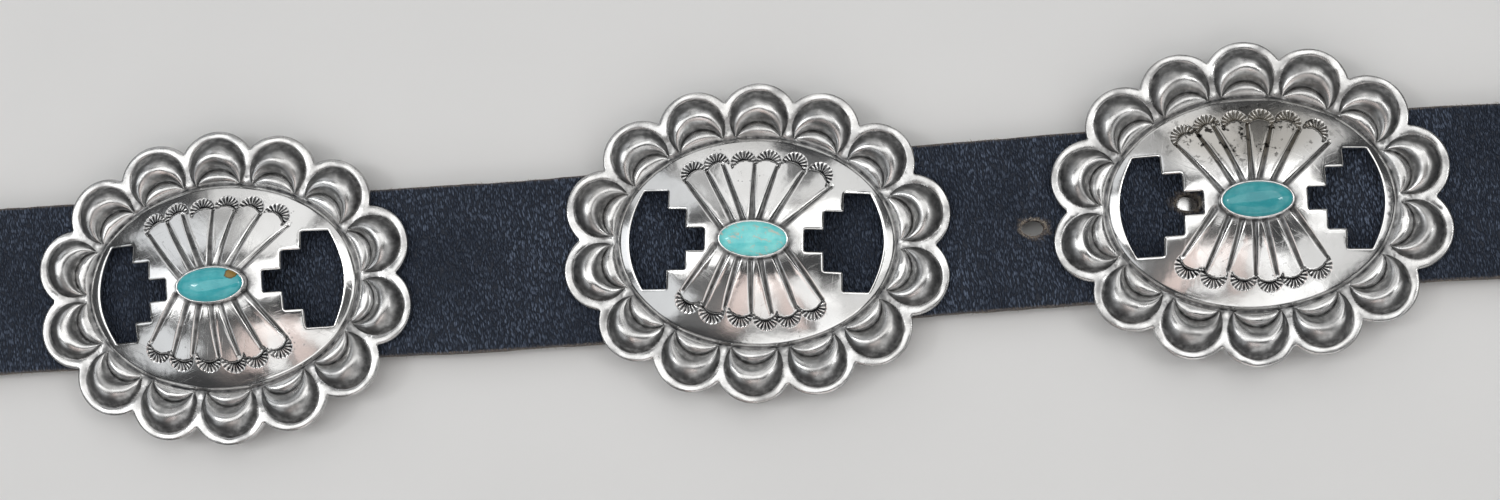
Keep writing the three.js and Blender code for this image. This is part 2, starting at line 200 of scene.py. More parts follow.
def join(objects: list[Piece], name: str) -> Piece:
    """Joins objects into the first one and names it."""
    activate(objects[0])
    for obj in objects[1:]:
        obj.select_set(True)
    bpy.ops.object.join()
    objects[0].name = name
    objects[0].data.name = name
    return objects[0]


def copy_of(obj: Piece, name: str) -> Piece:
    """Copies an object with a mesh of its own."""
    twin = obj.copy()
    twin.data = obj.data.copy()
    twin.name = name
    twin.data.name = name
    bpy.context.scene.collection.objects.link(twin)
    return twin


def place(obj: Piece, x: float, y: float, turn: float) -> None:
    """Turns a mesh about +Z by degrees and moves it, in millimetres."""
    points = coords_of(obj)
    c, s = math.cos(math.radians(turn)), math.sin(math.radians(turn))
    turned = points @ np.array([[c, s, 0], [-s, c, 0], [0, 0, 1]])
    set_coords(obj, turned + np.array([x, y, 0]))


def hand_in(obj: Piece, slot: Slot, *nodes: str) -> None:
    """Lets a finished piece ride on the belt and stand for its CAD nodes."""
    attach(obj, "root")
    if nodes:
        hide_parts(*nodes)
    log.info("%s: %d faces", obj.name, len(obj.data.polygons))


def smoothstep(low: float, high: float, value: Array) -> Array:
    """Smooth rise from 0 at low to 1 at high."""
    share = np.clip((value - low) / (high - low), 0, 1)
    return share * share * (3 - 2 * share)


def bell(value: Array, middle: float, width: float) -> Array:
    """Bell curve: 1 at the middle, and 1/e a width away from it."""
    return np.exp(-(((value - middle) / width) ** 2))


def ripple(x: Array, y: Array, length: float, seed: int) -> Array:
    """Gentle unevenness between about -1 and 1.

    Args:
        x: Places along the strap.
        y: Places across it.
        length: Typical length of a wave, in the same unit.
        seed: Number that picks the pattern.

    Returns:
        The height at each place.
    """
    rng = np.random.default_rng(seed)
    total = np.zeros(np.broadcast(x, y).shape)
    for _ in range(9):
        angle, phase = rng.uniform(0, TURN, 2)
        pitch = TURN / (length * rng.uniform(0.6, 1.6))
        total += np.sin(pitch * (x * math.cos(angle) + y * math.sin(angle)) + phase)
    return total / 4


def sides_of(loop: Array) -> zip:
    """Pairs of neighbouring points round a closed loop."""
    return zip(loop, np.roll(loop, -1, 0))


def ellipse(angles: Array, long: float, short: float) -> Array:
    """Points of an ellipse at angles, by its half length and half width."""
    return np.stack([long * np.cos(angles), short * np.sin(angles)], 1)


def inside(points: Array, loop: Array) -> Array:
    """Tells which points lie inside a closed loop."""
    x, y = points[:, 0], points[:, 1]
    crossed = np.zeros(len(points), bool)
    for (ax, ay), (bx, by) in sides_of(loop):
        if ay != by:
            between = (ay > y) != (by > y)
            crossed ^= between & (x < (bx - ax) * (y - ay) / (by - ay) + ax)
    return crossed


def gap_to(points: Array, loop: Array) -> Array:
    """Distance from each point to a closed loop."""
    best = np.full(len(points), np.inf)
    for a, b in sides_of(loop):
        side = b - a
        along = np.clip((points - a) @ side / max(side @ side, 1e-12), 0, 1)
        best = np.minimum(best, np.linalg.norm(points - a - along[:, None] * side, axis=1))
    return best


def shrink_loop(loop: Array, distance: float) -> Array:
    """Moves a counter-clockwise loop inwards, or outwards where the distance is negative."""
    ahead = np.roll(loop, -1, 0) - loop
    ahead /= np.linalg.norm(ahead, axis=1)[:, None]
    behind = np.roll(ahead, 1, 0)
    normal = np.stack([-ahead[:, 1] - behind[:, 1], ahead[:, 0] + behind[:, 0]], 1)
    length = np.linalg.norm(normal, axis=1)[:, None]
    reach = np.clip(2 / np.maximum(length, 1e-6), 1, 1.5)
    return loop + normal / length * reach * distance


def respaced(loop: Array, spacing: float) -> Array:
    """Adds points on a closed loop's longer sides, and keeps its corners."""
    out: list[Array] = []
    for a, b in sides_of(loop):
        count = max(1, round(float(np.linalg.norm(b - a)) / spacing))
        out.extend(a + (b - a) * i / count for i in range(count))
    return np.array(out)


def softened(loop: Array, radius: float, bend: float) -> Array:
    """Rounds the corners of a closed loop that turn by more than an angle in degrees."""
    out: list[Array] = []
    for before, corner, after in zip(np.roll(loop, 1, 0), loop, np.roll(loop, -1, 0)):
        first, second = corner - before, after - corner
        length = min(np.linalg.norm(first), np.linalg.norm(second))
        first, second = first / np.linalg.norm(first), second / np.linalg.norm(second)
        if first @ second > math.cos(math.radians(bend)):
            out.append(corner)
            continue
        cut = min(radius, length / 2.5)
        start, end = corner - first * cut, corner + second * cut
        for share in (0, 0.33, 0.67, 1):
            out.append((1 - share) ** 2 * start + 2 * share * (1 - share) * corner + share**2 * end)
    return np.array(out)


def thinned(fixed: Array, extra: Array, clear: float) -> Array:
    """Adds the extra points that keep clear of the fixed ones.

    Args:
        fixed: Points that stay.
        extra: Points to add.
        clear: Least distance of an added point to a fixed one.

    Returns:
        All the points.
    """
    tree = KDTree(len(fixed))
    for number, (x, y) in enumerate(fixed.tolist()):
        tree.insert((x, y, 0), number)
    tree.balance()
    free = [tree.find((x, y, 0))[2] > clear for x, y in extra.tolist()]
    return np.concatenate([fixed, extra[free]])


@dataclass
class Stamp:
    """Half-moon punch mark with ticks, at the outer ends of two rays.

    Attributes:
        x: Place of the outer circle's centre along the concho.
        y: Place of it across the concho.
        heading: Direction of its crown, in radians.
    """

    x: float
    y: float
    heading: float
    radius: float = 1.97
    inner_radius: float = 2.1
    inner_shift: float = 1.7
    sweep: float = math.radians(109)
    tick_count: int = 18
    depth: float = 0.26

    def inner_reach(self, angle: Array) -> Array:
        """Distance from the centre to the inner arc in a direction from the crown's."""
        c = self.inner_shift * np.cos(angle)
        return np.sqrt(c * c + self.inner_radius**2 - self.inner_shift**2) - c

    def polar(self, x: Array, y: Array) -> tuple[Array, Array]:
        """Distance of places from the centre, and their angle from the crown."""
        angle = np.arctan2(y - self.y, x - self.x) - self.heading
        return np.hypot(x - self.x, y - self.y), (angle + math.pi) % TURN - math.pi

    def lattice(self) -> Array:
        """Points that follow the mark's arcs and ticks."""
        angles = np.linspace(-self.sweep, self.sweep, 89)
        low = self.inner_reach(angles)
        rows = [low - 0.12, low - 0.02, low + 0.06]
        rows += [low + (self.radius - low) * share for share in (0.16, 0.3, 0.45, 0.62, 0.8, 0.93)]
        rows += [np.full_like(angles, self.radius + 0.05), np.full_like(angles, self.radius + 0.18)]
        reach = np.stack(rows)
        turned = angles + self.heading
        px, py = self.x + reach * np.cos(turned), self.y + reach * np.sin(turned)
        return np.stack([px.ravel(), py.ravel()], 1)

    def covers(self, x: Array, y: Array) -> Array:
        """True at the places that lie in the mark or just beside it."""
        reach, angle = self.polar(x, y)
        near = (reach > self.inner_reach(angle) - 0.16) & (reach < self.radius + 0.16)
        return near & (np.abs(angle) < self.sweep + 0.06)

    def press(self, x: Array, y: Array) -> tuple[Array, Array]:
        """Depth and darkness of the mark.

        Args:
            x: Places along the concho.
            y: Places across it.

        Returns:
            The height that it adds and how dark it is, at each place.
        """
        reach, angle = self.polar(x, y)
        low = self.inner_reach(angle)
        share = (reach - low) / np.maximum(self.radius - low, 0.05)
        within = smoothstep(-0.06, 0.03, share) * (1 - smoothstep(0.95, 1.03, share))
        within = within * (1 - smoothstep(self.sweep - 0.04, self.sweep + 0.04, np.abs(angle)))
        ticks = 0.5 + 0.5 * np.cos(self.tick_count * angle + math.pi)
        edge = 0.12 + 0.34 * np.clip(share, 0, 1)
        wedge = smoothstep(edge, edge + 0.22, ticks)
        slope = 1 - np.clip(share, 0, 1)
        sunk = self.depth * within * (0.35 + 0.65 * slope) + 0.14 * within * wedge
        arc = 1 - smoothstep(0.14, 0.36, share)
        dark = within * np.clip(np.maximum(arc, wedge * (1.1 - 0.2 * share)), 0, 1)
        return -sunk, dark


@dataclass
class Ray:
    """Groove struck with a blunt chisel, from the rim towards the stone."""

    outer: tuple[float, float]
    inner: tuple[float, float]
    width: float = 0.85
    depth: float = 0.36

    def lengthened(self, more: float) -> "Ray":
        """The same groove, longer at its inner end."""
        start, along, _, length = self.frame()
        end = start + along * (length + more)
        return Ray(self.outer, (float(end[0]), float(end[1])), self.width, self.depth)

    def frame(self) -> tuple[Array, Array, Array, float]:
        """Start, direction, side towards the fan's middle, and length."""
        start, end = np.array(self.outer), np.array(self.inner)
        length = float(np.linalg.norm(end - start))
        along = (end - start) / length
        side = np.array([-along[1], along[0]])
        if side[0] * start[0] > 0:
            side = -side
        return start, along, side, length

    def lattice(self) -> Array:
        """Points that follow the groove."""
        start, along, side, length = self.frame()
        half = self.width / 2
        steps = np.linspace(-0.2, length + 0.2, round(length / 0.2))
        shares = (-1.7, -1.25, -1, -0.66, -0.3, 0, 0.3, 0.66, 1, 1.25, 1.7)
        rows = [start + along * s + side * half * q for s in steps for q in shares]
        return np.array(rows)

    def press(self, x: Array, y: Array) -> tuple[Array, Array]:
        """Depth of the groove, and its darkness: dark along its bottom, and painted shade over the
        whole wall away from the fan's middle.

        Args:
            x: Places along the concho.
            y: Places across it.

        Returns:
            The height that it adds and how dark it is, at each place.
        """
        start, along, side, length = self.frame()
        dx, dy = x - start[0], y - start[1]
        run = dx * along[0] + dy * along[1]
        off = dx * side[0] + dy * side[1]
        half = self.width / 2 * (0.62 + 0.6 * np.clip(run / length, 0, 1))
        beyond = np.maximum(0, np.maximum(-run, run - length))
        share = np.hypot(off, beyond) / half
        sunk = self.depth * np.clip(1 - share, 0, 1)
        burr = 0.05 * bell(share, 1.2, 0.25) * (off > 0)
        # Painted shade: the wall away from the fan's middle is darkened up to its edge, and the wall
        # towards the middle is left bright, as the light falls on them.
        lit, shadowed = smoothstep(0.0, 0.45, share), smoothstep(0.5, 1.05, share)
        shaded = 1 - np.where(off > 0, lit, shadowed)
        return burr - sunk, 0.8 * np.clip(shaded, 0, 1)


@dataclass
class ConchoPlate:
    """Scalloped, domed and pierced silver sheet with its struck decoration.

    Attributes:
        top_fan: Outer and inner end of each ray on the side of +Y.
        low_fan: The same on the side of -Y.
        top_stamps: Middles of the stamps between the upper rays.
        low_stamps: Middles of the stamps between the lower rays.
        rays: All rays, worked out from the fans.
        stamps: All stamps, turned to face between their two rays.
    """

    length: float = 60.2
    width: float = 50.1
    sheet: float = 1.1
    rise: float = 5.0
    inset_long: float = 8.3
    inset_short: float = 8.7
    step: float = 0.2
    step_width: float = 0.45
    lobe_count: int = 14
    lobe_overlap: float = 0.29
    moon_margin: float = 1.2
    moon_spacing: float = 0.55
    bite_radius: float = 3.7
    bite_shift: float = 4.1
    moon_rise: float = 1.85
    moon_ridge: float = 0.57
    bead_rise: float = 0.5
    bead_room: float = 0.35
    groove_depth: float = 0.24
    crease_depth: float = 0.13
    bite_depth: float = 0.12
    hammered: tuple[float, float] = (0.035, 0.025)
    seat_dark: float = 0.85
    end_dark: float = 0.42
    seat_long: float = 5.75
    seat_short: float = 3.12
    edge_drop: float = 0.2
    edge_round: float = 0.42
    back_pitch: float = 1.7
    back_oxide: float = 0.35
    band: float = 2.0
    waist: float = 7.75
    stair: float = 2.95
    nose: float = 1.7
    window_corner: float = 17.6
    rim_top: float = 5.3
    ray_tuck: float = 0.8
    top_fan: tuple = (
        ((-10.95, 9.19), (-5.55, 2.19)),
        ((-7.65, 10.6), (-3.55, 3.2)),
        ((-5.25, 11.9), (-1.85, 3.4)),
        ((-0.3, 12.0), (-0.4, 3.6)),
        ((3.3, 11.7), (0.85, 3.5)),
        ((7.45, 10.9), (2.95, 3.3)),
        ((11.75, 8.6), (4.55, 2.2)),
    )
    low_fan: tuple = (
        ((-11.04, -7.82), (-6.6, -1.75)),
        ((-7.86, -10.4), (-4.4, -2.9)),
        ((-4.49, -10.4), (-2.4, -3.25)),
        ((-0.32, -11.0), (-0.42, -3.4)),
        ((2.86, -11.2), (1.14, -3.3)),
        ((6.63, -10.4), (3.4, -2.8)),
        ((10.6, -9.01), (5.4, -1.8)),
    )
    top_stamps: tuple = (
        (-9.8, 10.4), (-6.25, 11.8), (-2.05, 12.2), (1.85, 12.3), (5.85, 11.9), (9.85, 10.4),
    )
    low_stamps: tuple = (
        (-10.2, -9.3), (-6.5, -10.9), (-2.1, -11.4), (1.9, -11.8), (5.4, -11.3), (9.2, -10.1),
    )
    rays: list[Ray] = field(default_factory=list)
    stamps: list[Stamp] = field(default_factory=list)

    def __post_init__(self) -> None:
        """Works out the lobes, the outlines and the struck marks."""
        self.oval_long = self.length / 2 - self.inset_long
        self.oval_short = self.width / 2 - self.inset_short
        self._set_lobes()
        self.outline = self._scallops()
        right = self._window()
        self.windows = [right, (right * [-1, 1])[::-1]]
        for fan, stamps in ((self.top_fan, self.top_stamps), (self.low_fan, self.low_stamps)):
            fan_rays = [Ray(outer, inner).lengthened(self.ray_tuck) for outer, inner in fan]
            self.rays += fan_rays
            for (x, y), left, right_ray in zip(stamps, fan_rays, fan_rays[1:]):
                lean = -left.frame()[1] - right_ray.frame()[1]
                self.stamps.append(Stamp(x, y, math.atan2(lean[1], lean[0])))

    def _set_lobes(self) -> None:
        """Spaces the lobes evenly round an ellipse that brings them to the full size."""
        long, short = self.length / 2, self.width / 2
        angles = np.linspace(0, TURN, 20001)
        shares = (np.arange(self.lobe_count) + 0.5) / self.lobe_count
        for _ in range(16):
            path = ellipse(angles, long, short)
            run = np.concatenate([[0], np.cumsum(np.linalg.norm(np.diff(path, axis=0), axis=1))])
            at = np.interp(shares * run[-1], run, angles)
            centres = ellipse(at, long, short)
            spacing = float(np.linalg.norm(centres[1] - centres[0]))
            radius = (1 + self.lobe_overlap) * spacing / 2
            normal = centres / [long**2, short**2]
            long = (self.length / 2 - radius) * long / centres[0, 0]
            short = self.width / 2 - radius
        self.lobe_radius = radius
        self.lobe_centres = centres
        self.lobe_inward = -normal / np.linalg.norm(normal, axis=1)[:, None]
        self.moon_radius = (spacing - self.moon_spacing) / 2
        outward = radius - self.moon_margin - self.moon_radius
        self.moon_centres = centres - self.lobe_inward * outward

    def _scallops(self) -> Array:
        """Outline of the scalloped edge, counter-clockwise."""
        points: list[Array] = []
        count, radius = self.lobe_count, self.lobe_radius
        cusps = []
        for i in range(count):
            a, b = self.lobe_centres[i], self.lobe_centres[(i + 1) % count]
            across = b - a
            half = np.linalg.norm(across) / 2
            out = np.array([across[1], -across[0]]) / (2 * half)
            cusps.append((a + b) / 2 + out * math.sqrt(radius**2 - half**2))
        for i in range(count):
            centre = self.lobe_centres[i]
            first, last = cusps[i - 1] - centre, cusps[i] - centre
            start = math.atan2(first[1], first[0])
            end = math.atan2(last[1], last[0])
            end += TURN if end < start else 0
            for angle in np.linspace(start, end, 21)[:-1]:
                points.append(centre + radius * np.array([math.cos(angle), math.sin(angle)]))
        return softened(np.array(points), 0.3, 40)

    def _window(self) -> Array:
        """Outline of the right-hand window, counter-clockwise."""
        long = self.oval_long - self.band
        x, y = self.waist, self.nose
        steps = [(x, y), (x + self.stair, y), (x + self.stair, y + self.stair)]
        top = y + 2 * self.stair
        steps += [(x + 2 * self.stair, y + self.stair), (x + 2 * self.stair, top)]
        across = np.linspace(top, -top, 44)
        pull = (long - self.window_corner) * np.abs(across / top) ** 1.9
        curve = list(zip((long - pull).tolist(), across.tolist()))
        mirrored = [(px, -py) for px, py in reversed(steps)]
        loop = np.array(steps + curve + mirrored)[::-1]
        return respaced(softened(loop, 0.28, 40), 0.45)

    def oval_gap(self, x: Array, y: Array) -> Array:
        """Distance outside the raised oval, negative inside it."""
        share = np.hypot(x / self.oval_long, y / self.oval_short)
        slope = np.hypot(x / self.oval_long**2, y / self.oval_short**2)
        return (share - 1) * share / np.maximum(slope, 1e-4)

    def base(self, x: Array, y: Array) -> Array:
        """Height of the bare sheet's front: flat rim, step and dome."""
        share = np.hypot(x / self.oval_long, y / self.oval_short)
        gap = self.oval_gap(x, y)
        dome = self.rise * np.clip(1 - share**2, 0, 1)
        return self.rim_top + dome + self.step * smoothstep(0, self.step_width, -gap)

    def moon_frame(self, i: int, x: Array, y: Array) -> tuple[Array, Array]:
        """Distances inside a moon's outer arc and outside its bite."""
        dx, dy = x - self.moon_centres[i, 0], y - self.moon_centres[i, 1]
        ux, uy = self.lobe_inward[i]
        along, across = dx * ux + dy * uy, dx * uy - dy * ux
        outer = self.moon_radius - np.hypot(along, across)
        return outer, np.hypot(along - self.bite_shift, across) - self.bite_radius

    def relief(self, x: Array, y: Array) -> tuple[Array, Array]:
        """Height and darkness of the front.

        Args:
            x: Places along the concho.
            y: Places across it.

        Returns:
            The height in millimetres, and the darkness from 0 to 1: oxide in the grooves, a tarnish
            film on the rim, darker stamps and a darker ring round the stone's seat, and painted shade
            on the moons' flanks and on one wall of each ray.
        """
        gap = self.oval_gap(x, y)
        broad, fine = self.hammered
        height = self.base(x, y) + broad * ripple(x, y, 9, 3)
        height += fine * ripple(y, x, 3.1, 5) * (gap > 0.4)
        height -= self.groove_depth * bell(gap, 0.12, 0.27)
        film = np.clip(0.34 + 0.2 * ripple(x, y, 5, 8), 0, 0.6)
        oxide_and_shade = np.maximum(bell(gap, 0.14, 0.28), np.where(gap > 0.4, film, 0))
        for i in range(self.lobe_count):
            rise, dark = self._moon(*self.moon_frame(i, x, y), gap)
            height += rise
            oxide_and_shade = np.maximum(oxide_and_shade, dark)
        for mark in [*self.rays, *self.stamps]:
            rise, dark = mark.press(x, y)
            height += rise
            oxide_and_shade = np.maximum(oxide_and_shade, dark)
        ring = (np.hypot(x / self.seat_long, y / self.seat_short) - 1) * 4
        seat = self.seat_dark * bell(ring, 0, 0.5)
        far = smoothstep(0.5, 1.0, np.abs(x) / self.seat_long)
        ends = self.end_dark * bell(ring, 0.48, 0.8) * far
        return height, np.clip(np.maximum(oxide_and_shade, np.maximum(seat, ends)), 0, 1)

    def _moon(self, outer: Array, bite: Array, gap: Array) -> tuple[Array, Array]:
        """Height and darkness that one moon adds, with the lens in its bite.

        Args:
            outer: Distances inside its outer arc.
            bite: Distances outside its bite.
            gap: Distances outside the oval.

        Returns:
            The height in millimetres, and the darkness from 0 to 1: oxide along its outer edge and
            its bite, painted shade on its flanks.
        """
        ridge = self.moon_ridge
        wide = np.maximum(outer + bite, 1e-3)
        share = np.clip(outer / wide, 0, 1)
        within = (outer > 0) & (bite > 0)
        crown = self.moon_rise * np.clip(wide / 5, 0, 1.05) ** 0.8
        flank = np.sin(np.pi / 2 * np.clip(share / ridge, 0, 1)) ** 0.85
        fall = np.cos(np.pi / 2 * np.clip((share - ridge) / (1 - ridge), 0, 1)) ** 0.8
        height = np.where(within, crown * np.where(share < ridge, flank, fall), 0)
        crease = bell(outer, 0, 0.2) * smoothstep(-0.6, 0.2, bite)
        edge = bell(bite, 0, 0.18) * smoothstep(-0.5, 0.6, outer)
        height -= self.crease_depth * crease + self.bite_depth * edge
        # Painted shade and highlight: the outer flank and the inner fall are darkened and the crest
        # is left bright, standing in for the dark and bright reflections of the room.
        shade = 0.8 - 0.18 * smoothstep(0.1, 0.3, share) - 0.62 * smoothstep(0.34, 0.52, share)
        shade = np.where(share > ridge, 0.66 * smoothstep(0.64, 0.78, share), shade)
        shade += 0.12 * smoothstep(0.86, 0.98, share)
        oxide_and_shade = np.maximum(np.where(within, shade, 0), 0.75 * np.maximum(crease, edge))
        room = gap - self.bead_room
        span = np.maximum(room - bite, 1e-3)
        part = np.clip(-bite / span, 0, 1)
        inner = (bite < 0) & (room > 0) & (outer > -1.6)
        lens = np.sin(np.pi * part) ** 0.8 * np.clip(span / 2.1, 0, 1.1)
        height += np.where(inner, self.bead_rise * lens, 0)
        line = 0.7 * bell(part, 0.3, 0.09) + 0.5 * smoothstep(0.7, 1, part)
        return height, np.maximum(oxide_and_shade, np.where(inner, line, 0))

    def _moon_lattice(self) -> Array:
        """Points that follow the moons and the beads inside their bites."""
        radius, bite, shift = self.moon_radius, self.bite_radius, self.bite_shift
        depth = (radius**2 - bite**2 + shift**2) / (2 * shift)
        spread = math.sqrt(radius**2 - depth**2)
        outer_half = math.pi - math.atan2(spread, depth)
        inner_half = math.atan2(spread, shift - depth)
        ends = np.linspace(0.8, 0.99, 7)
        along = np.concatenate([-ends[::-1], np.linspace(-0.76, 0.76, 35), ends])
        steps = (
            -0.1, -0.045, 0, 0.03, 0.08, 0.15, 0.23, 0.31, 0.39, 0.46, 0.52, 0.57, 0.62, 0.69, 0.77,
            0.85, 0.92, 0.97, 1,
        )
        points: list[Array] = []
        for centre, inward in zip(self.moon_centres, self.lobe_inward):
            side = np.array([inward[1], -inward[0]])
            outer = ellipse(along * outer_half, -1, 1) * radius
            inner = [shift, 0] + ellipse(along * inner_half, -bite, bite)
            for step in steps:
                local = outer * (1 - step) + inner * step
                points.append(centre + local[:, :1] * inward + local[:, 1:] * side)
            flat = centre + inner[:, :1] * inward + inner[:, 1:] * side
            room = self.oval_gap(flat[:, 0], flat[:, 1]) - self.bead_room
            wide = room > 0.35
            for part in (0.07, 0.16, 0.24, 0.3, 0.36, 0.46, 0.6, 0.75, 0.9):
                points.append((flat + inward * (room * part)[:, None])[wide])
        return np.concatenate(points)

    def _oval_lattice(self) -> Array:
        """Rings of points along the groove round the oval."""
        angles = np.linspace(0, TURN, 260, endpoint=False)
        on = ellipse(angles, self.oval_long, self.oval_short)
        normal = on / [self.oval_long**2, self.oval_short**2]
        normal /= np.linalg.norm(normal, axis=1)[:, None]
        offsets = (-1.0, -0.7, -0.45, -0.25, -0.08, 0.1, 0.28)
        return np.concatenate([on + normal * offset for offset in offsets])

    def _grid(self, pitch: float) -> Array:
        """Points of a triangular grid over the whole plate."""
        gx, gy = np.meshgrid(
            np.arange(-self.length / 2, self.length / 2, pitch),
            np.arange(-self.width / 2, self.width / 2, pitch * 0.866),
        )
        gx = gx + (np.arange(gx.shape[0]) % 2 * pitch / 2)[:, None]
        return np.stack([gx.ravel(), gy.ravel()], 1)

    def mark_gap(self, points: Array) -> Array:
        """Distance of each point to the nearest struck mark."""
        gap = np.full(len(points), 99.0)
        for stamp in self.stamps:
            away = np.hypot(points[:, 0] - stamp.x, points[:, 1] - stamp.y)
            gap = np.minimum(gap, away - stamp.radius)
        for ray in self.rays:
            start, along, _, length = ray.frame()
            run = np.clip((points - start) @ along, 0, length)
            away = np.linalg.norm(points - start - run[:, None] * along, axis=1)
            gap = np.minimum(gap, away - ray.width / 2)
        return gap

    def lattice(self) -> Array:
        """All loose points of the front: those that follow its shapes, then grids between them."""
        marks = np.concatenate([stamp.lattice() for stamp in self.stamps])
        rays = np.concatenate([ray.lattice() for ray in self.rays])
        struck = np.zeros(len(rays), bool)
        for stamp in self.stamps:
            struck |= stamp.covers(rays[:, 0], rays[:, 1])
        points = thinned(marks, rays[~struck], 0.07)
        points = np.concatenate([points, self._moon_lattice(), self._oval_lattice()])
        for pitch, reach, clear in ((0.2, 0.35, 0.15), (0.36, 1.0, 0.24), (0.58, 99.0, 0.36)):
            grid = self._grid(pitch)
            points = thinned(points, grid[self.mark_gap(grid) < reach], clear)
        return points

    def _solid(self, points: Array) -> Array:
        """Tells which points lie on the pierced plate."""
        pierced = inside(points, self.windows[0]) | inside(points, self.windows[1])
        return inside(points, self.outline) & ~pierced

    def _edge_gap(self, points: Array) -> Array:
        """Distance of each point to the nearest edge of the pierced plate."""
        return np.min([gap_to(points, loop) for loop in (self.outline, *self.windows)], axis=0)

    def _sheet(self, loose: Array, clear: float, rings: tuple) -> tuple[Array, Array, list]:
        """Triangulates the plate's plan.

        Args:
            loose: Loose points.
            clear: Distance that loose points keep from the outlines.
            rings: Distances inside the outlines at which a ring of points is added.

        Returns:
            The points, the triangles, and for each outline the numbers of its points.
        """
        keep = self._solid(loose) & (self._edge_gap(loose) > clear)
        parts, edges, spans, count = [], [], [], 0
        for loop in (self.outline, *self.windows):
            number = np.arange(len(loop)) + count
            edges += [(int(a), int(b)) for a, b in sides_of(number)]
            spans.append(number)
            parts.append(loop)
            count += len(loop)
        for ring in rings:
            parts.append(shrink_loop(self.outline, ring))
            parts += [shrink_loop(window, -ring) for window in self.windows]
        parts.append(loose[keep])
        flat = np.concatenate(parts)
        found = delaunay_2d_cdt([Vector(p) for p in flat], edges, [], 0, 1e-5)
        points = np.array([tuple(p) for p in found[0]])
        faces = np.array([f for f in found[2] if len(f) == 3])
        number_of = {old: new for new, olds in enumerate(found[3]) for old in olds}
        faces = faces[self._solid(points[faces].mean(1))]
        a, b, c = (points[faces[:, k]] for k in range(3))
        turn = (b[:, 0] - a[:, 0]) * (c[:, 1] - a[:, 1]) - (b[:, 1] - a[:, 1]) * (c[:, 0] - a[:, 0])
        faces[turn < 0] = faces[turn < 0][:, ::-1]
        return points, faces, [[number_of[int(n)] for n in span] for span in spans]

    def build(self) -> Piece:
        """Models one plate about the origin, with its oxide and painted shade as a point attribute.
        """
        front, front_faces, front_spans = self._sheet(self.lattice(), 0.5, (0.1, 0.24, 0.42))
        height, oxide_and_shade = self.relief(front[:, 0], front[:, 1])
        turned_in = 1 - np.clip(self._edge_gap(front) / self.edge_round, 0, 1)
        height -= self.edge_drop * (1 - np.sqrt(1 - turned_in**2))
        gx, gy = np.meshgrid(np.arange(-30, 30, self.back_pitch), np.arange(-25, 25, self.back_pitch))
        back, back_faces, back_spans = self._sheet(np.stack([gx.ravel(), gy.ravel()], 1), 0.8, ())
        below = self.base(back[:, 0], back[:, 1]) - self.sheet
        first = len(front)
        points = np.concatenate([np.column_stack([front, height]), np.column_stack([back, below])])
        faces = [*front_faces.tolist(), *(back_faces[:, ::-1] + first).tolist()]
        for k, (top, bottom) in enumerate(zip(front_spans, back_spans)):
            for i in range(len(top)):
                j = (i + 1) % len(top)
                quad = [bottom[i] + first, bottom[j] + first, top[j], top[i]]
                faces.append(quad if k == 0 else quad[::-1])
        obj = mesh_object("plate", points, faces)
        mark_points(obj, "oxide_and_shade", np.concatenate([oxide_and_shade, np.full(len(back), self.back_oxide)]))
        smooth(obj, 64)
        return obj


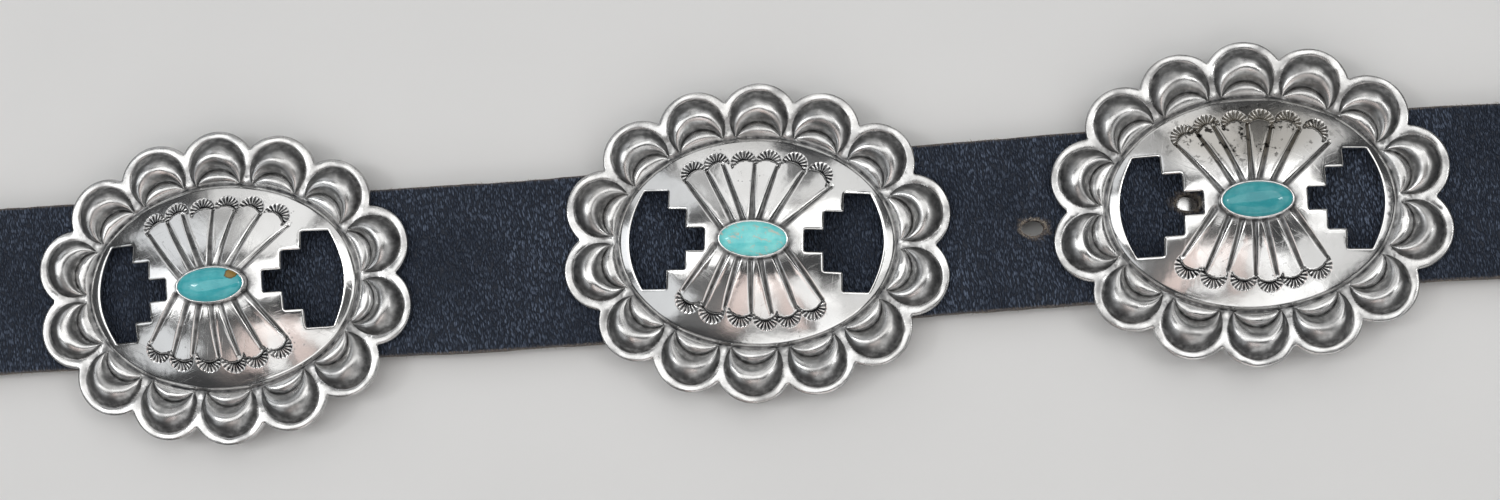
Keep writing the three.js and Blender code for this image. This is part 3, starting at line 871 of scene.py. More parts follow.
@dataclass
class Setting:
    """Oval stone with the bezel wall rubbed over its edge, on the dome's top."""

    stone_length: float = 10.5
    stone_width: float = 5.4
    dome_top: float = 10.3
    girdle: float = 1.0
    crown: float = 1.3
    sides: int = 72
    wall: tuple = (
        (0.46, -0.25), (0.4, -0.02), (0.34, 0.35), (0.3, 0.95), (0.27, 1.12), (0.19, 1.24),
        (0.07, 1.3), (-0.04, 1.29), (-0.1, 1.22), (-0.08, 1.1), (-0.04, 0.2), (-0.04, -0.25),
    )
    dome_angles: tuple = (9, 18, 27, 36, 45, 54, 62, 70, 77, 83)

    def _ring(self, offset: float, height: float) -> None:
        """Adds the first ring of a wall, in edit mode, at a distance outside the stone."""
        deselect()
        bpy.ops.mesh.primitive_circle_add(vertices=self.sides, radius=1, fill_type="NOTHING")
        obj = bpy.context.object
        angle = np.arange(self.sides) * TURN / self.sides
        plan = ellipse(angle, self.stone_length / 2 + offset, self.stone_width / 2 + offset)
        set_coords(obj, np.column_stack([plan, np.full(self.sides, height)]))
        activate(obj)
        select_all_edit("VERT")

    def _climb(self, old: tuple[float, float], new: tuple[float, float]) -> None:
        """Extrudes the selected ring to another offset and height.

        Args:
            old: Offset outside the stone and height of the ring, in millimetres.
            new: The same of the next ring.
        """
        halves = (self.stone_length / 2, self.stone_width / 2)
        extrude(new[1] - old[1], *((half + new[0]) / (half + old[0]) for half in halves))

    def build_bezel(self) -> Piece:
        """Models the bezel: a thin wall whose lip leans over the stone."""
        top = self.dome_top
        rings = [(offset, top + up) for offset, up in self.wall]
        self._ring(*rings[0])
        for old, new in zip(rings, rings[1:]):
            self._climb(old, new)
        bpy.ops.mesh.select_all(action="SELECT")
        bpy.ops.object.mode_set(mode="OBJECT")
        obj = bpy.context.object
        points = coords_of(obj)
        angle = np.arctan2(points[:, 1] / self.stone_width, points[:, 0] / self.stone_length)
        uneven = np.sin(angle * 9 + 1) * 0.02 + np.sin(angle * 23) * 0.012
        points[:, 2] += uneven * (points[:, 2] > top + 0.9)
        set_coords(obj, points)
        self._close_wall(obj)
        # Painted shade: the inner wall under the lip, in the gap round the stone, is painted nearly
        # black; the wall is also darker towards its foot.
        reach = np.hypot(points[:, 0] / self.stone_length, points[:, 1] / self.stone_width) * 2
        within = (reach < 1.0) & (points[:, 2] < top + 1.27)
        foot = 1 - smoothstep(top, top + 0.4, points[:, 2])
        dark = np.maximum(np.where(within, 0.95, 0.04), 0.7 * foot)
        mark_points(obj, "oxide_and_shade", dark)
        smooth(obj, 60)
        obj.name = "bezel"
        return obj

    def _close_wall(self, obj: Piece) -> None:
        """Joins the first and the last ring of a wall and turns its faces outwards."""
        activate(obj)
        select_all_edit("EDGE")
        bpy.ops.mesh.select_all(action="DESELECT")
        bpy.ops.mesh.select_non_manifold()
        bpy.ops.mesh.bridge_edge_loops()
        face_outwards(obj)

    def build_stone(self) -> Piece:
        """Models the cabochon: a short girdle under a smooth low dome."""
        foot, girdle = self.dome_top + 0.15, self.dome_top + self.girdle
        self._ring(-0.12, foot)
        self._climb((-0.12, foot), (0, foot + 0.12))
        self._climb((0, foot + 0.12), (0, girdle))
        size, height = 1.0, girdle
        for angle in self.dome_angles:
            turn = math.radians(angle)
            new_size, new_height = math.cos(turn) ** 0.92, girdle + self.crown * math.sin(turn)
            extrude(new_height - height, new_size / size, new_size / size)
            size, height = new_size, new_height
        extrude(0)
        bpy.ops.mesh.merge(type="CENTER")
        bpy.ops.mesh.select_all(action="DESELECT")
        bpy.ops.mesh.select_mode(type="EDGE")
        bpy.ops.mesh.select_non_manifold()
        bpy.ops.mesh.edge_face_add()
        obj = bpy.context.object
        face_outwards(obj)
        smooth(obj, 60)
        obj.name = "stone"
        return obj


@dataclass
class BeltLoops:
    """Two flat loops under a concho that the strap passes through."""

    thickness: float = 1.0
    width: float = 6.0
    spacing: float = 18.0
    inner: float = 15.3
    top: float = 4.75

    def build(self) -> Piece:
        """Models both loops: a strip bent up at both ends, with rounded edges."""
        loops = []
        for side in (-1, 1):
            deselect()
            middle = (side * self.spacing / 2 * MM, 0, self.thickness / 2 * MM)
            bpy.ops.mesh.primitive_cube_add(size=1, location=middle)
            obj = bpy.context.object
            reach = 2 * (self.inner + self.thickness) * MM
            obj.scale = (self.width * MM, reach, self.thickness * MM)
            bake_place(obj)
            for edge in (-1, 1):
                select_all_edit()
                bpy.ops.mesh.bisect(plane_co=(0, edge * self.inner * MM, 0), plane_no=(0, 1, 0))
            bpy.ops.object.mode_set(mode="OBJECT")
            select_faces(obj, lambda f: f.normal.z > 0.9 and abs(f.center.y) > self.inner * MM)
            extrude(self.top - self.thickness)
            bpy.ops.object.mode_set(mode="OBJECT")
            round_edges(obj, 0.22, 2, 30)
            smooth(obj, 40)
            loops.append(obj)
        return join(loops, "belt_loops")


@dataclass
class Strap:
    """Leather strap: flat from its tip to near the buckle, then folded round the buckle's bar.

    Attributes:
        fine_part: Where the sections lie closer, from the last concho.
        waves: Height, length and seed of each wave along the edges.
        sway_rows: Places in pitches from the last concho, and the drift there in widths.
        holes: Place of each hole from the last concho, and its drift in widths.
        dent: Place of the closed third hole from the last concho, its length and its width.
    """

    width: float = 26.8
    thickness: float = 2.6
    bottom: float = 1.3
    pitch: float = 80.55
    bar_x: float = -397.85
    bar_height: float = 3.838
    fold_inner: float = 2.138
    fold_thickness: float = 1.7
    fold_length: float = 34.0
    rise_length: float = 20.0
    tip_x: float = 425.45
    tip_length: float = 17.0
    tip_bluntness: float = 0.3
    last_concho: tuple[float, float] = (319.65, 0.891)
    axis: float = 0.234
    hole_length: float = 3.7
    hole_width: float = 2.5
    slot_length: float = 15.0
    slot_width: float = 5.0
    fine_part: tuple[float, float] = (-205, 45)
    fine_pitch: float = 1.1
    coarse_pitch: float = 2.4
    tip_stations: int = 19
    edge_fibres: int = 11000
    hole_fibres: int = 420
    worn_edge: tuple[float, float] = (0.42, 0.05)
    worn_rim: tuple[float, float] = (1.08, 1.42)
    hole_rise: float = 0.16
    hole_sink: float = 0.32
    dent: tuple[float, float, float] = (14.5, 3.6, 2.8)
    dent_sink: float = 0.3
    dent_fade: float = 0.12
    waves: tuple = ((0.1, 14, 11), (0.06, 3, 12))
    sway_rows: tuple = (
        (-3.3, 0), (-2.5, 0.034), (-1.4, -0.0255), (-0.3, 0.015), (0.3, 0.014),
        (0.75, -0.004), (1.0, 0),
    )
    holes: tuple = ((-33.1, -0.036), (-9.2, 0.045))

    def sway(self, x: Array) -> Array:
        """Sideways place of the strap's middle line."""
        at = (np.asarray(x, float) - self.last_concho[0]) / self.pitch
        out = np.zeros(at.shape)
        for (a, low), (b, high) in zip(self.sway_rows, self.sway_rows[1:]):
            share = np.clip((at - a) / (b - a), 0, 1)
            out = np.where(at >= a, low + (high - low) * share * share * (3 - 2 * share), out)
        return self.axis + self.width * out

    def half_width(self, x: Array) -> Array:
        """Half the strap's width at places along it, less over the rounded tip."""
        share = np.sqrt(np.clip((self.tip_x - np.asarray(x, float)) / self.tip_length, 0, 1))
        blunt = self.tip_bluntness
        return self.width / 2 * (blunt + (1 - blunt) * np.sin(share * math.pi / 2))

    def hole_spots(self) -> list[tuple[float, float]]:
        """Middles of the two holes."""
        spots = [(self.last_concho[0] + along, drift) for along, drift in self.holes]
        return [(x, float(self.sway(np.array(x)) + drift * self.width)) for x, drift in spots]

    def hole_reach(self, x: Array, y: Array, spot: tuple[float, float]) -> Array:
        """Distance from a hole's middle: 1 on its rim."""
        return np.hypot((x - spot[0]) / self.hole_length, (y - spot[1]) / self.hole_width) * 2

    def _stations(self) -> list[tuple[Array, Array, float]]:
        """Middle point, upward direction and thickness of each section, from tip to fold.

        Returns:
            For each section its place along and height, its upward direction in that plane,
            and its thickness.
        """
        rows = []
        middle = self.bottom + self.thickness / 2
        start = self.bar_x + self.fold_length + self.fold_thickness
        first, last = (self.last_concho[0] + reach for reach in self.fine_part)
        fine = np.arange(first, last, self.fine_pitch)
        coarse = np.arange(start, fine[0] - 1, self.coarse_pitch)
        tip = self.tip_x - self.tip_length * np.linspace(1, 0, self.tip_stations) ** 2
        rest = np.concatenate([np.arange(fine[-1] + 1.5, tip[0] - 1, 2), tip])
        for x in np.concatenate([coarse, fine, rest])[::-1]:
            rows.append((np.array([x, middle]), np.array([0.0, 1.0]), self.thickness))
        low_start, low_end = self.fold_thickness + 0.3, self.bar_height + self.fold_inner
        for share in np.linspace(0, 0.95, 13):
            x = self.bar_x + self.rise_length * (1 - share)
            thick = self.thickness + (self.fold_thickness - self.thickness) * share
            low = low_start + (low_end - low_start) * share * share * (3 - 2 * share)
            rows.append((np.array([x, low + thick / 2]), np.array([0.0, 1.0]), thick))
        reach = self.fold_inner + self.fold_thickness / 2
        for angle in np.linspace(math.pi / 2, 1.5 * math.pi, 17):
            up = np.array([math.cos(angle), math.sin(angle)])
            centre = np.array([self.bar_x, self.bar_height]) + up * reach
            rows.append((centre, up, self.fold_thickness))
        for x in np.linspace(2, self.fold_length, 16):
            centre = np.array([self.bar_x + x, self.fold_thickness / 2])
            rows.append((centre, np.array([0.0, -1.0]), self.fold_thickness))
        return rows

    def _section(self) -> Array:
        """Outline of a section, with its width and its thickness from -1 to 1."""
        half = self.width / 2
        across = np.linspace(-1, 1, 33) * (1 - 0.5 / half)
        low_across = np.linspace(1, -1, 13)[1:-1] * (1 - 0.5 / half)
        edge = ((0.22, 0.95), (0.04, 0.62), (0, 0.1), (0, -0.5), (0.1, -0.9))
        right = [(1 - inward / half, up) for inward, up in edge]
        left = [(-u, v) for u, v in reversed(right)]
        rows = [(u, 1.0) for u in across] + right + [(u, -1.0) for u in low_across] + left
        return np.array(rows)

    def _surface(self, x: Array, y: Array) -> Array:
        """Small hollows of the top face near the holes and at the closed third one."""
        down = np.zeros(x.shape)
        for spot in self.hole_spots():
            away = self.hole_reach(x, y, spot)
            down -= self.hole_sink * bell(away, 1, 0.55)
            down += self.hole_rise * bell(away, 2.1, 0.5)
        along, long, wide = self.dent
        dent_x = self.last_concho[0] + along
        away = np.hypot((x - dent_x) / long, (y - self.sway(np.array(dent_x))) / wide) * 2
        return down - (self.dent_sink * bell(away, 1.1, 0.3) + self.dent_fade * bell(away, 1.7, 0.3))

    def build(self) -> Piece:
        """Models the strap with its worn edges, its punched holes and the slot at the fold."""
        section, rows = self._section(), self._stations()
        points: list[Array] = []
        for centre, up, thick in rows:
            flat = up[1] > 0.99 and abs(thick - self.thickness) < 1e-6
            half = float(self.half_width(centre[0])) if flat else self.width / 2
            both = np.array([centre[0]] * 2), np.array([0.0, 40.0])
            wave = sum(size * ripple(*both, length, seed) for size, length, seed in self.waves)
            wave = np.clip(wave, -0.25, 0) if half < self.width / 2 else np.clip(wave, -0.3, 0.06)
            side = np.where(section[:, 0] > 0, wave[1], wave[0]) * np.abs(section[:, 0]) ** 3
            y = section[:, 0] * half + side * np.sign(section[:, 0])
            lift = section[:, 1] * thick / 2
            x = centre[0] + up[0] * lift
            z = centre[1] + up[1] * lift
            y = y + self.sway(np.full(y.shape, centre[0]))
            if flat:
                top = section[:, 1] > 0.9
                z = z + np.where(top, self._surface(x, y) + 0.035 * ripple(x, y, 5, 21), 0)
            points.append(np.column_stack([x, y, z]))
        cloud = np.concatenate(points)
        count, total = len(section), len(rows)
        faces: list[list[int]] = []
        for r in range(total - 1):
            for i in range(count):
                a, b = r * count + i, r * count + (i + 1) % count
                faces.append([a, b, b + count, a + count])
        faces.append(list(range(count))[::-1])
        faces.append([(total - 1) * count + i for i in range(count)])
        obj = mesh_object("strap_leather", cloud, faces)
        face_outwards(obj)
        self._cut(obj)
        smooth(obj, 42)
        return obj

    def _punch(self, spot: tuple, size: tuple, sides: int) -> tuple[Piece, Array]:
        """Makes an oval cutter of a size at a spot, and gives it with its points."""
        deselect()
        middle = [value * MM for value in spot]
        bpy.ops.mesh.primitive_cylinder_add(vertices=sides, radius=0.5, depth=1, location=middle)
        cutter = bpy.context.object
        cutter.scale = [value * MM for value in size]
        bake_place(cutter)
        return cutter, coords_of(cutter)

    def _cut(self, obj: Piece) -> None:
        """Punches the holes and cuts the slot for the tongue."""
        cutters = []
        for hx, hy in self.hole_spots():
            size = (self.hole_length, self.hole_width, 12)
            cutter, points = self._punch((hx, hy, self.bottom), size, 40)
            bend = 1 + 0.07 * ripple(points[:, 0], points[:, 1], 2.2, 31)
            points[:, :2] = [hx, hy] + (points[:, :2] - [hx, hy]) * bend[:, None]
            set_coords(cutter, points)
            cutters.append(cutter)
        size = (self.slot_width, self.slot_width, 40)
        slot, points = self._punch((self.bar_x, self.axis, 0), size, 32)
        reach = self.slot_length - self.slot_width / 2
        points[:, 0] += np.where(points[:, 0] > self.bar_x, reach, -reach)
        set_coords(slot, points)
        cutters.append(slot)
        for cutter in cutters:
            apply_modifier(obj, "BOOLEAN", object=cutter, operation="DIFFERENCE", solver="EXACT")
            bpy.data.objects.remove(cutter)

    def build_fibres(self) -> Piece:
        """Models the tan fibres that stand out of the raw edges and round the holes."""
        rng = np.random.default_rng(7)
        roots, tips = [], []
        low, high = self.bottom + 0.3, self.bottom + self.thickness - 0.05
        start = self.bar_x + self.fold_length + 6
        for side in (-1, 1):
            x = rng.uniform(start, self.tip_x - self.tip_length - 4, self.edge_fibres)
            clumps = np.sin(x / 7.3 + side) + np.sin(x / 2.9) + np.sin(x / 17)
            x = x[clumps + rng.uniform(-2.4, 1.2, len(x)) > -0.4]
            y = self.sway(x) + side * (self.width / 2 - 0.12)
            z = rng.uniform(low, high, len(x))
            length = rng.gamma(2.0, 0.075, len(x)) + 0.12
            lean = rng.normal(0, 1.6, len(x))
            rise = rng.uniform(-0.15, 0.75, len(x))
            root = np.stack([x, y, z], 1)
            toward = np.stack([lean, np.full(len(x), float(side)), rise], 1)
            toward /= np.linalg.norm(toward, axis=1)[:, None]
            roots.append(root)
            tips.append(root + toward * np.minimum(length, 1.1)[:, None])
        count = self.hole_fibres
        for spot in self.hole_spots():
            angle = rng.uniform(0, TURN, count)
            out = ellipse(angle, 1, 1)
            rim = out * [self.hole_length / 2, self.hole_width / 2]
            rim *= rng.uniform(0.97, 1.24, (count, 1))
            root = np.column_stack([rim + spot, rng.uniform(high - 0.5, high - 0.1, count)])
            spin = rng.normal(0, 1.2, count)
            c, s = np.cos(spin), np.sin(spin)
            flat = np.stack([out[:, 0] * c - out[:, 1] * s, out[:, 0] * s + out[:, 1] * c], 1)
            flat *= np.where(rng.uniform(size=count) < 0.35, -1, 1)[:, None]
            toward = np.column_stack([flat, rng.uniform(0.15, 0.6, count)])
            tip = root + toward * rng.uniform(0.14, 0.42, (count, 1))
            tip[:, 2] = np.minimum(tip[:, 2], high + 0.3)
            roots.append(root)
            tips.append(tip)
        root, tip = np.concatenate(roots), np.concatenate(tips)
        along = tip - root
        side = np.cross(along, rng.normal(size=along.shape))
        side /= np.linalg.norm(side, axis=1)[:, None]
        other = np.cross(along / np.linalg.norm(along, axis=1)[:, None], side)
        thick = np.clip(0.13 * np.linalg.norm(along, axis=1), 0.022, 0.06)[:, None]
        turns = [k * TURN / 3 for k in range(3)]
        rings = [root + (side * math.cos(turn) + other * math.sin(turn)) * thick for turn in turns]
        points = np.stack(rings + [tip], 1).reshape(-1, 3)
        base = np.array([[0, 2, 1], [0, 1, 3], [1, 2, 3], [2, 0, 3]])
        faces = (np.arange(len(root))[:, None, None] * 4 + base).reshape(-1, 3)
        obj = mesh_object("edge_fibres", points, faces)
        face_outwards(obj)
        return obj

    def mark_raw_edges(self, obj: Piece) -> None:
        """Marks the cut edges and the hole rims, where the dye is worn off."""
        x, y = coords_of(obj)[:, :2].T
        edge = np.minimum(self.half_width(x) - np.abs(y - self.sway(x)), self.tip_x - x)
        raw = smoothstep(*self.worn_edge, edge)
        for spot in self.hole_spots():
            raw = np.maximum(raw, 1 - smoothstep(*self.worn_rim, self.hole_reach(x, y, spot)))
        mark_points(obj, "raw", np.clip(raw, 0, 1))


@dataclass
class Buckle:
    """Plain rounded frame with its tongue lying across it.

    Attributes:
        tongue_steps: Length, rise, growth in height and growth in width of each part of it.
    """

    bar_x: float = -397.85
    axis: float = 0.234
    bar_height: float = 3.838
    bar: float = 2.6
    opening: float = 20.0
    front: float = 5.5
    side: float = 5.0
    half_inner: float = 14.6
    corner: float = 7.0
    tongue_width: float = 3.2
    tongue_thickness: float = 2.0
    tongue_steps: tuple = (
        (-2.0, 0.35, 1.25, 1.0), (-9, 0, 1.0, 0.94), (-9.4, 0, 1.0, 0.92),
        (-4.2, -0.25, 0.8, 0.9), (-1.2, -0.12, 0.72, 0.8),
    )

    def build(self) -> Piece:
        """Models the frame and the tongue as one soldered piece."""
        frame_piece = self._frame()
        tongue = self._tongue()
        return join([frame_piece, tongue], "buckle_frame")

    def _frame(self) -> Piece:
        """Models the frame: a plate with rounded corners, inset, opened and softened."""
        heel = self.bar / 2
        left = -heel - self.opening - self.front
        size_x, size_y = heel - left, 2 * (self.half_inner + self.side)
        centre = (self.bar_x + (left + heel) / 2, self.axis, self.bar_height - self.bar / 2)
        deselect()
        bpy.ops.mesh.primitive_plane_add(size=1, location=Vector(centre) * MM)
        obj = bpy.context.object
        obj.scale = (size_x * MM, size_y * MM, 1)
        bake_place(obj)
        select_all_edit("EDGE")
        bpy.ops.mesh.bevel(offset=self.corner * MM, segments=10, affect="VERTICES")
        bpy.ops.mesh.inset(thickness=self.side * MM, depth=0)
        bpy.ops.mesh.delete(type="FACE")
        bpy.ops.mesh.select_all(action="SELECT")
        extrude(self.bar)
        face_outwards(obj)
        points = coords_of(obj)
        local = points[:, 0] - self.bar_x
        inner_left, inner_right = left + self.side, heel - self.side
        within = (local > inner_left - 0.01) & (local < inner_right + 0.01)
        within &= np.abs(points[:, 1] - self.axis) < self.half_inner + 0.01
        share = np.clip((local - inner_left) / (inner_right - inner_left), 0, 1)
        target = (-heel - self.opening) + share * self.opening
        points[:, 0] = np.where(within, self.bar_x + target, points[:, 0])
        set_coords(obj, points)
        round_edges(obj, 0.8, 4, 50)
        smooth(obj, 50)
        return obj

    def _tongue(self) -> Piece:
        """Models the tongue: a bar drawn out over the frame's front, with a rounded end."""
        top = self.bar_height + self.bar / 2
        heel, front = self.bar / 2, -self.bar / 2 - self.opening
        deselect()
        spot = ((self.bar_x + heel - 0.6) * MM, self.axis * MM, (top + 0.55) * MM)
        bpy.ops.mesh.primitive_cube_add(size=1, location=spot)
        obj = bpy.context.object
        obj.scale = (1.2 * MM, self.tongue_width * MM, 1.1 * MM)
        bake_place(obj)
        pivot = (0, self.axis * MM, top * MM)
        for length, lift, grow_z, grow_y in self.tongue_steps:
            end_x = min(v.co.x for v in obj.data.vertices) + 1e-5
            select_faces(obj, lambda f, end=end_x: f.normal.x < -0.9 and f.center.x < end)
            move = (length * MM, 0, lift * MM)
            bpy.ops.mesh.extrude_region_move(TRANSFORM_OT_translate={"value": move})
            bpy.ops.transform.resize(value=(1, grow_y, grow_z), center_override=pivot)
            bpy.ops.object.mode_set(mode="OBJECT")
        points = coords_of(obj)
        limit = self.bar_x + front - self.front - 0.8
        points[:, 0] = np.maximum(points[:, 0], limit)
        points[:, 2] = np.minimum(points[:, 2], top + self.tongue_thickness)
        set_coords(obj, points)
        round_edges(obj, 0.45, 3, 40)
        smooth(obj, 45)
        return obj


class NodeBench:
    """Short ways to add and join shader nodes in one tree."""

    def __init__(self, tree: Tree) -> None:
        """Takes the tree that nodes are added to."""
        self.tree = tree

    def feed(self, socket: Wire, value: object) -> None:
        """Links an output to a socket, or sets its value."""
        if isinstance(value, Wire):
            self.tree.links.new(value, socket)
        else:
            socket.default_value = value

    def add(self, kind: str, inputs: dict | None = None, **settings: object) -> Node:
        """Adds a node with its settings, and with its inputs by name or number."""
        node = self.tree.nodes.new(kind)
        for key, value in settings.items():
            setattr(node, key, value)
        for key, value in (inputs or {}).items():
            self.feed(node.inputs[key], value)
        return node

    def math(self, operation: str, *values: object) -> Wire:
        """Adds a math node and gives its result."""
        return self.add("ShaderNodeMath", dict(enumerate(values)), operation=operation).outputs[0]

    def plus(self, first: object, second: object) -> Wire:
        """Adds two values."""
        return self.math("ADD", first, second)

    def times(self, first: object, second: object) -> Wire:
        """Multiplies two values."""
        return self.math("MULTIPLY", first, second)

    def length(self, vector: object) -> Wire:
        """Length of a vector."""
        node = self.add("ShaderNodeVectorMath", {0: vector}, operation="LENGTH")
        return node.outputs["Value"]

    def blend(self, share: object, first: object, second: object) -> Wire:
        """Mixes two colours by a share."""
        inputs = {0: share, 6: first, 7: second}
        return self.add("ShaderNodeMix", inputs, data_type="RGBA").outputs[2]

    def spread(
        self, value: object, low: float, high: float, out_low: float = 0, out_high: float = 1
    ) -> Wire:
        """Stretches a value smoothly from one range to another, and clamps it."""
        inputs = dict(enumerate((value, low, high, out_low, out_high)))
        return self.add("ShaderNodeMapRange", inputs, interpolation_type="SMOOTHSTEP").outputs[0]

    def noise(self, vector: object, scale: float, detail: float = 3, rough: float = 0.5) -> Wire:
        """Adds noise and gives its value."""
        inputs = {"Vector": vector, "Scale": scale, "Detail": detail, "Roughness": rough}
        return self.add("ShaderNodeTexNoise", inputs).outputs[0]

    def stretch(
        self, vector: object, size: tuple, turn: float = 0, shift: tuple = (0, 0, 0)
    ) -> Wire:
        """Turns a place, in degrees about +Z, and then scales and shifts it."""
        if turn:
            inputs = {"Vector": vector, "Rotation": (0, 0, math.radians(turn))}
            vector = self.add("ShaderNodeMapping", inputs).outputs[0]
        inputs = {"Vector": vector, "Location": shift, "Scale": size}
        return self.add("ShaderNodeMapping", inputs).outputs[0]

    def place(self) -> Wire:
        """Gives the place on the object, in metres."""
        return self.add("ShaderNodeTexCoord").outputs["Object"]

    def stored(self, name: str) -> Wire:
        """Gives a value that is stored on the mesh's points."""
        return self.add("ShaderNodeAttribute", attribute_name=name).outputs["Fac"]

    def bump(
        self, height: Wire, strength: float, distance: float, normal: Wire | None = None
    ) -> Wire:
        """Turns a height, which a distance in metres scales, into a normal."""
        inputs = {"Strength": strength, "Distance": distance, "Height": height}
        if normal is not None:
            inputs["Normal"] = normal
        return self.add("ShaderNodeBump", inputs).outputs[0]


def node_group(name: str, inputs: dict[str, float | None], outputs: tuple[str, ...]) -> tuple:
    """Makes an empty shader node group.

    Args:
        name: Name of the group.
        inputs: Name of each input with its value, or with None where it is a vector.
        outputs: Names of the outputs, which are numbers.

    Returns:
        The group, the bench for its nodes, its inputs by name, and its outputs by name.
    """
    tree = bpy.data.node_groups.new(name, "ShaderNodeTree")
    for key, value in inputs.items():
        kind = "NodeSocketVector" if value is None else "NodeSocketFloat"
        socket = tree.interface.new_socket(name=key, in_out="INPUT", socket_type=kind)
        if value is not None:
            socket.default_value = value
    for key in outputs:
        tree.interface.new_socket(name=key, in_out="OUTPUT", socket_type="NodeSocketFloat")
    bench = NodeBench(tree)
    entry = bench.add("NodeGroupInput")
    exit_node = bench.add("NodeGroupOutput")
    return tree, bench, entry.outputs, exit_node.inputs


def scratches_group() -> Tree:
    """Fine polishing scratches of handled silver, in four directions."""
    tree, bench, given, out = node_group(
        "polishing scratches", {"Place": None, "Density": 0.5}, ("Height", "Mask")
    )
    total: object = 0.0
    for turn, fine, seed in ((12, 5200, 0.1), (-38, 4300, 0.5), (71, 6100, 0.9), (118, 3900, 1.4)):
        lines = bench.stretch(given["Place"], (fine, fine / 34, fine / 34), turn, (seed, seed, 0))
        thin = bench.spread(bench.noise(lines, 1.0, 2, 0.55), 0.62, 0.74)
        area = bench.stretch(given["Place"], (150, 150, 150), turn, (seed, 0, 0))
        patch = bench.spread(bench.noise(area, 1.0, 1), 0.42, 0.62)
        total = bench.plus(total, bench.times(thin, patch))
    mask = bench.times(total, given["Density"])
    bench.feed(out["Mask"], mask)
    bench.feed(out["Height"], bench.times(mask, -1.0))
    return tree


def tarnish_and_shade_group() -> Tree:
    """Patchy darkening of the given oxide and painted shade, with small dark pits."""
    tree, bench, given, out = node_group(
        "tarnish_and_shade", {"Place": None, "Oxide": 0.0, "Pits": 0.3}, ("Dark", "Film")
    )
    place_on = given["Place"]
    fine = bench.noise(place_on, 900, 4, 0.6)
    worn = bench.times(given["Oxide"], bench.spread(fine, 0.25, 0.7, 0.72, 1.12))
    spots = bench.add("ShaderNodeTexVoronoi", {"Vector": place_on, "Scale": 1300}, feature="F1")
    dots = bench.math("LESS_THAN", spots.outputs["Distance"], 0.2)
    where = bench.spread(bench.noise(place_on, 160, 2), 0.56, 0.7)
    pits = bench.times(bench.times(dots, where), given["Pits"])
    bench.feed(out["Dark"], bench.math("MINIMUM", bench.math("MAXIMUM", worn, pits), 1.0))
    bench.feed(out["Film"], bench.spread(bench.noise(place_on, 95, 3, 0.55), 0.35, 0.75))
    return tree


def leather_grain_group() -> Tree:
    """Grain of small cells drawn out across the strap, with creases between them and pores; its
    outputs also mark the painted shade in the creases and the painted sheen on the cells' tops.
    """
    tree, bench, given, out = node_group(
        "leather grain", {"Place": None, "Pitch": 3600.0}, ("Height", "CreaseShade", "TintAndSheen")
    )
    place_on, lean = given["Place"], -6
    warp = bench.add("ShaderNodeTexNoise", {"Vector": place_on, "Scale": 260.0})
    drift = {0: warp.outputs["Color"], 1: (0.0009, 0.0009, 0.0009), 2: place_on}
    moved = bench.add("ShaderNodeVectorMath", drift, operation="MULTIPLY_ADD").outputs[0]
    cell = {"Vector": bench.stretch(moved, (1.0, 0.36, 1.0), lean), "Scale": given["Pitch"]}
    cells = bench.add("ShaderNodeTexVoronoi", cell, feature="SMOOTH_F1")
    cells.inputs["Smoothness"].default_value = 0.25
    tints = bench.add("ShaderNodeTexVoronoi", cell, feature="F1")
    pick = bench.add("ShaderNodeSeparateColor", {0: tints.outputs["Color"]}).outputs[0]
    dome = bench.spread(cells.outputs["Distance"], 0.82, 0.22)
    patch = bench.spread(bench.noise(place_on, 230, 2, 0.5), 0.3, 0.7, 0.78, 1.0)
    fine = bench.noise(bench.stretch(moved, (1.0, 0.5, 1.0), lean), 3600, 3, 0.6)
    folds = bench.plus(bench.times(bench.times(dome, patch), 0.75), bench.times(fine, 0.45))
    pores = bench.noise(place_on, 4600, 3, 0.6)
    bench.feed(out["Height"], bench.plus(folds, bench.times(pores, 0.25)))
    # Painted shade: the low parts between the cells, where the finish lays the crease colour.
    bench.feed(out["CreaseShade"], bench.spread(folds, 0.46, 0.24))
    # The per-cell tint is the leather's own tone; the lift on the cells' tops is a painted sheen.
    tint = bench.spread(pick, 0.2, 0.95, 0.32, 1.4)
    bench.feed(out["TintAndSheen"], bench.times(bench.spread(folds, 0.4, 0.85), tint))
    return tree


class EffectShelf:
    """Node groups that several finishes share, each built once."""

    def __init__(self) -> None:
        """Builds the groups."""
        self.scratches = scratches_group()
        self.tarnish_and_shade = tarnish_and_shade_group()
        self.grain = leather_grain_group()

    def put(self, bench: NodeBench, tree: Tree, **values: object) -> Node:
        """Places a group in a material with its own values."""
        return bench.add("ShaderNodeGroup", values, node_tree=tree)


def new_material(name: str) -> tuple[Material, NodeBench, Node]:
    """Makes a material and gives it, its bench and its Principled BSDF."""
    material = bpy.data.materials.new(name)
    material.use_nodes = True
    shader = next(n for n in material.node_tree.nodes if n.type == "BSDF_PRINCIPLED")
    return material, NodeBench(material.node_tree), shader


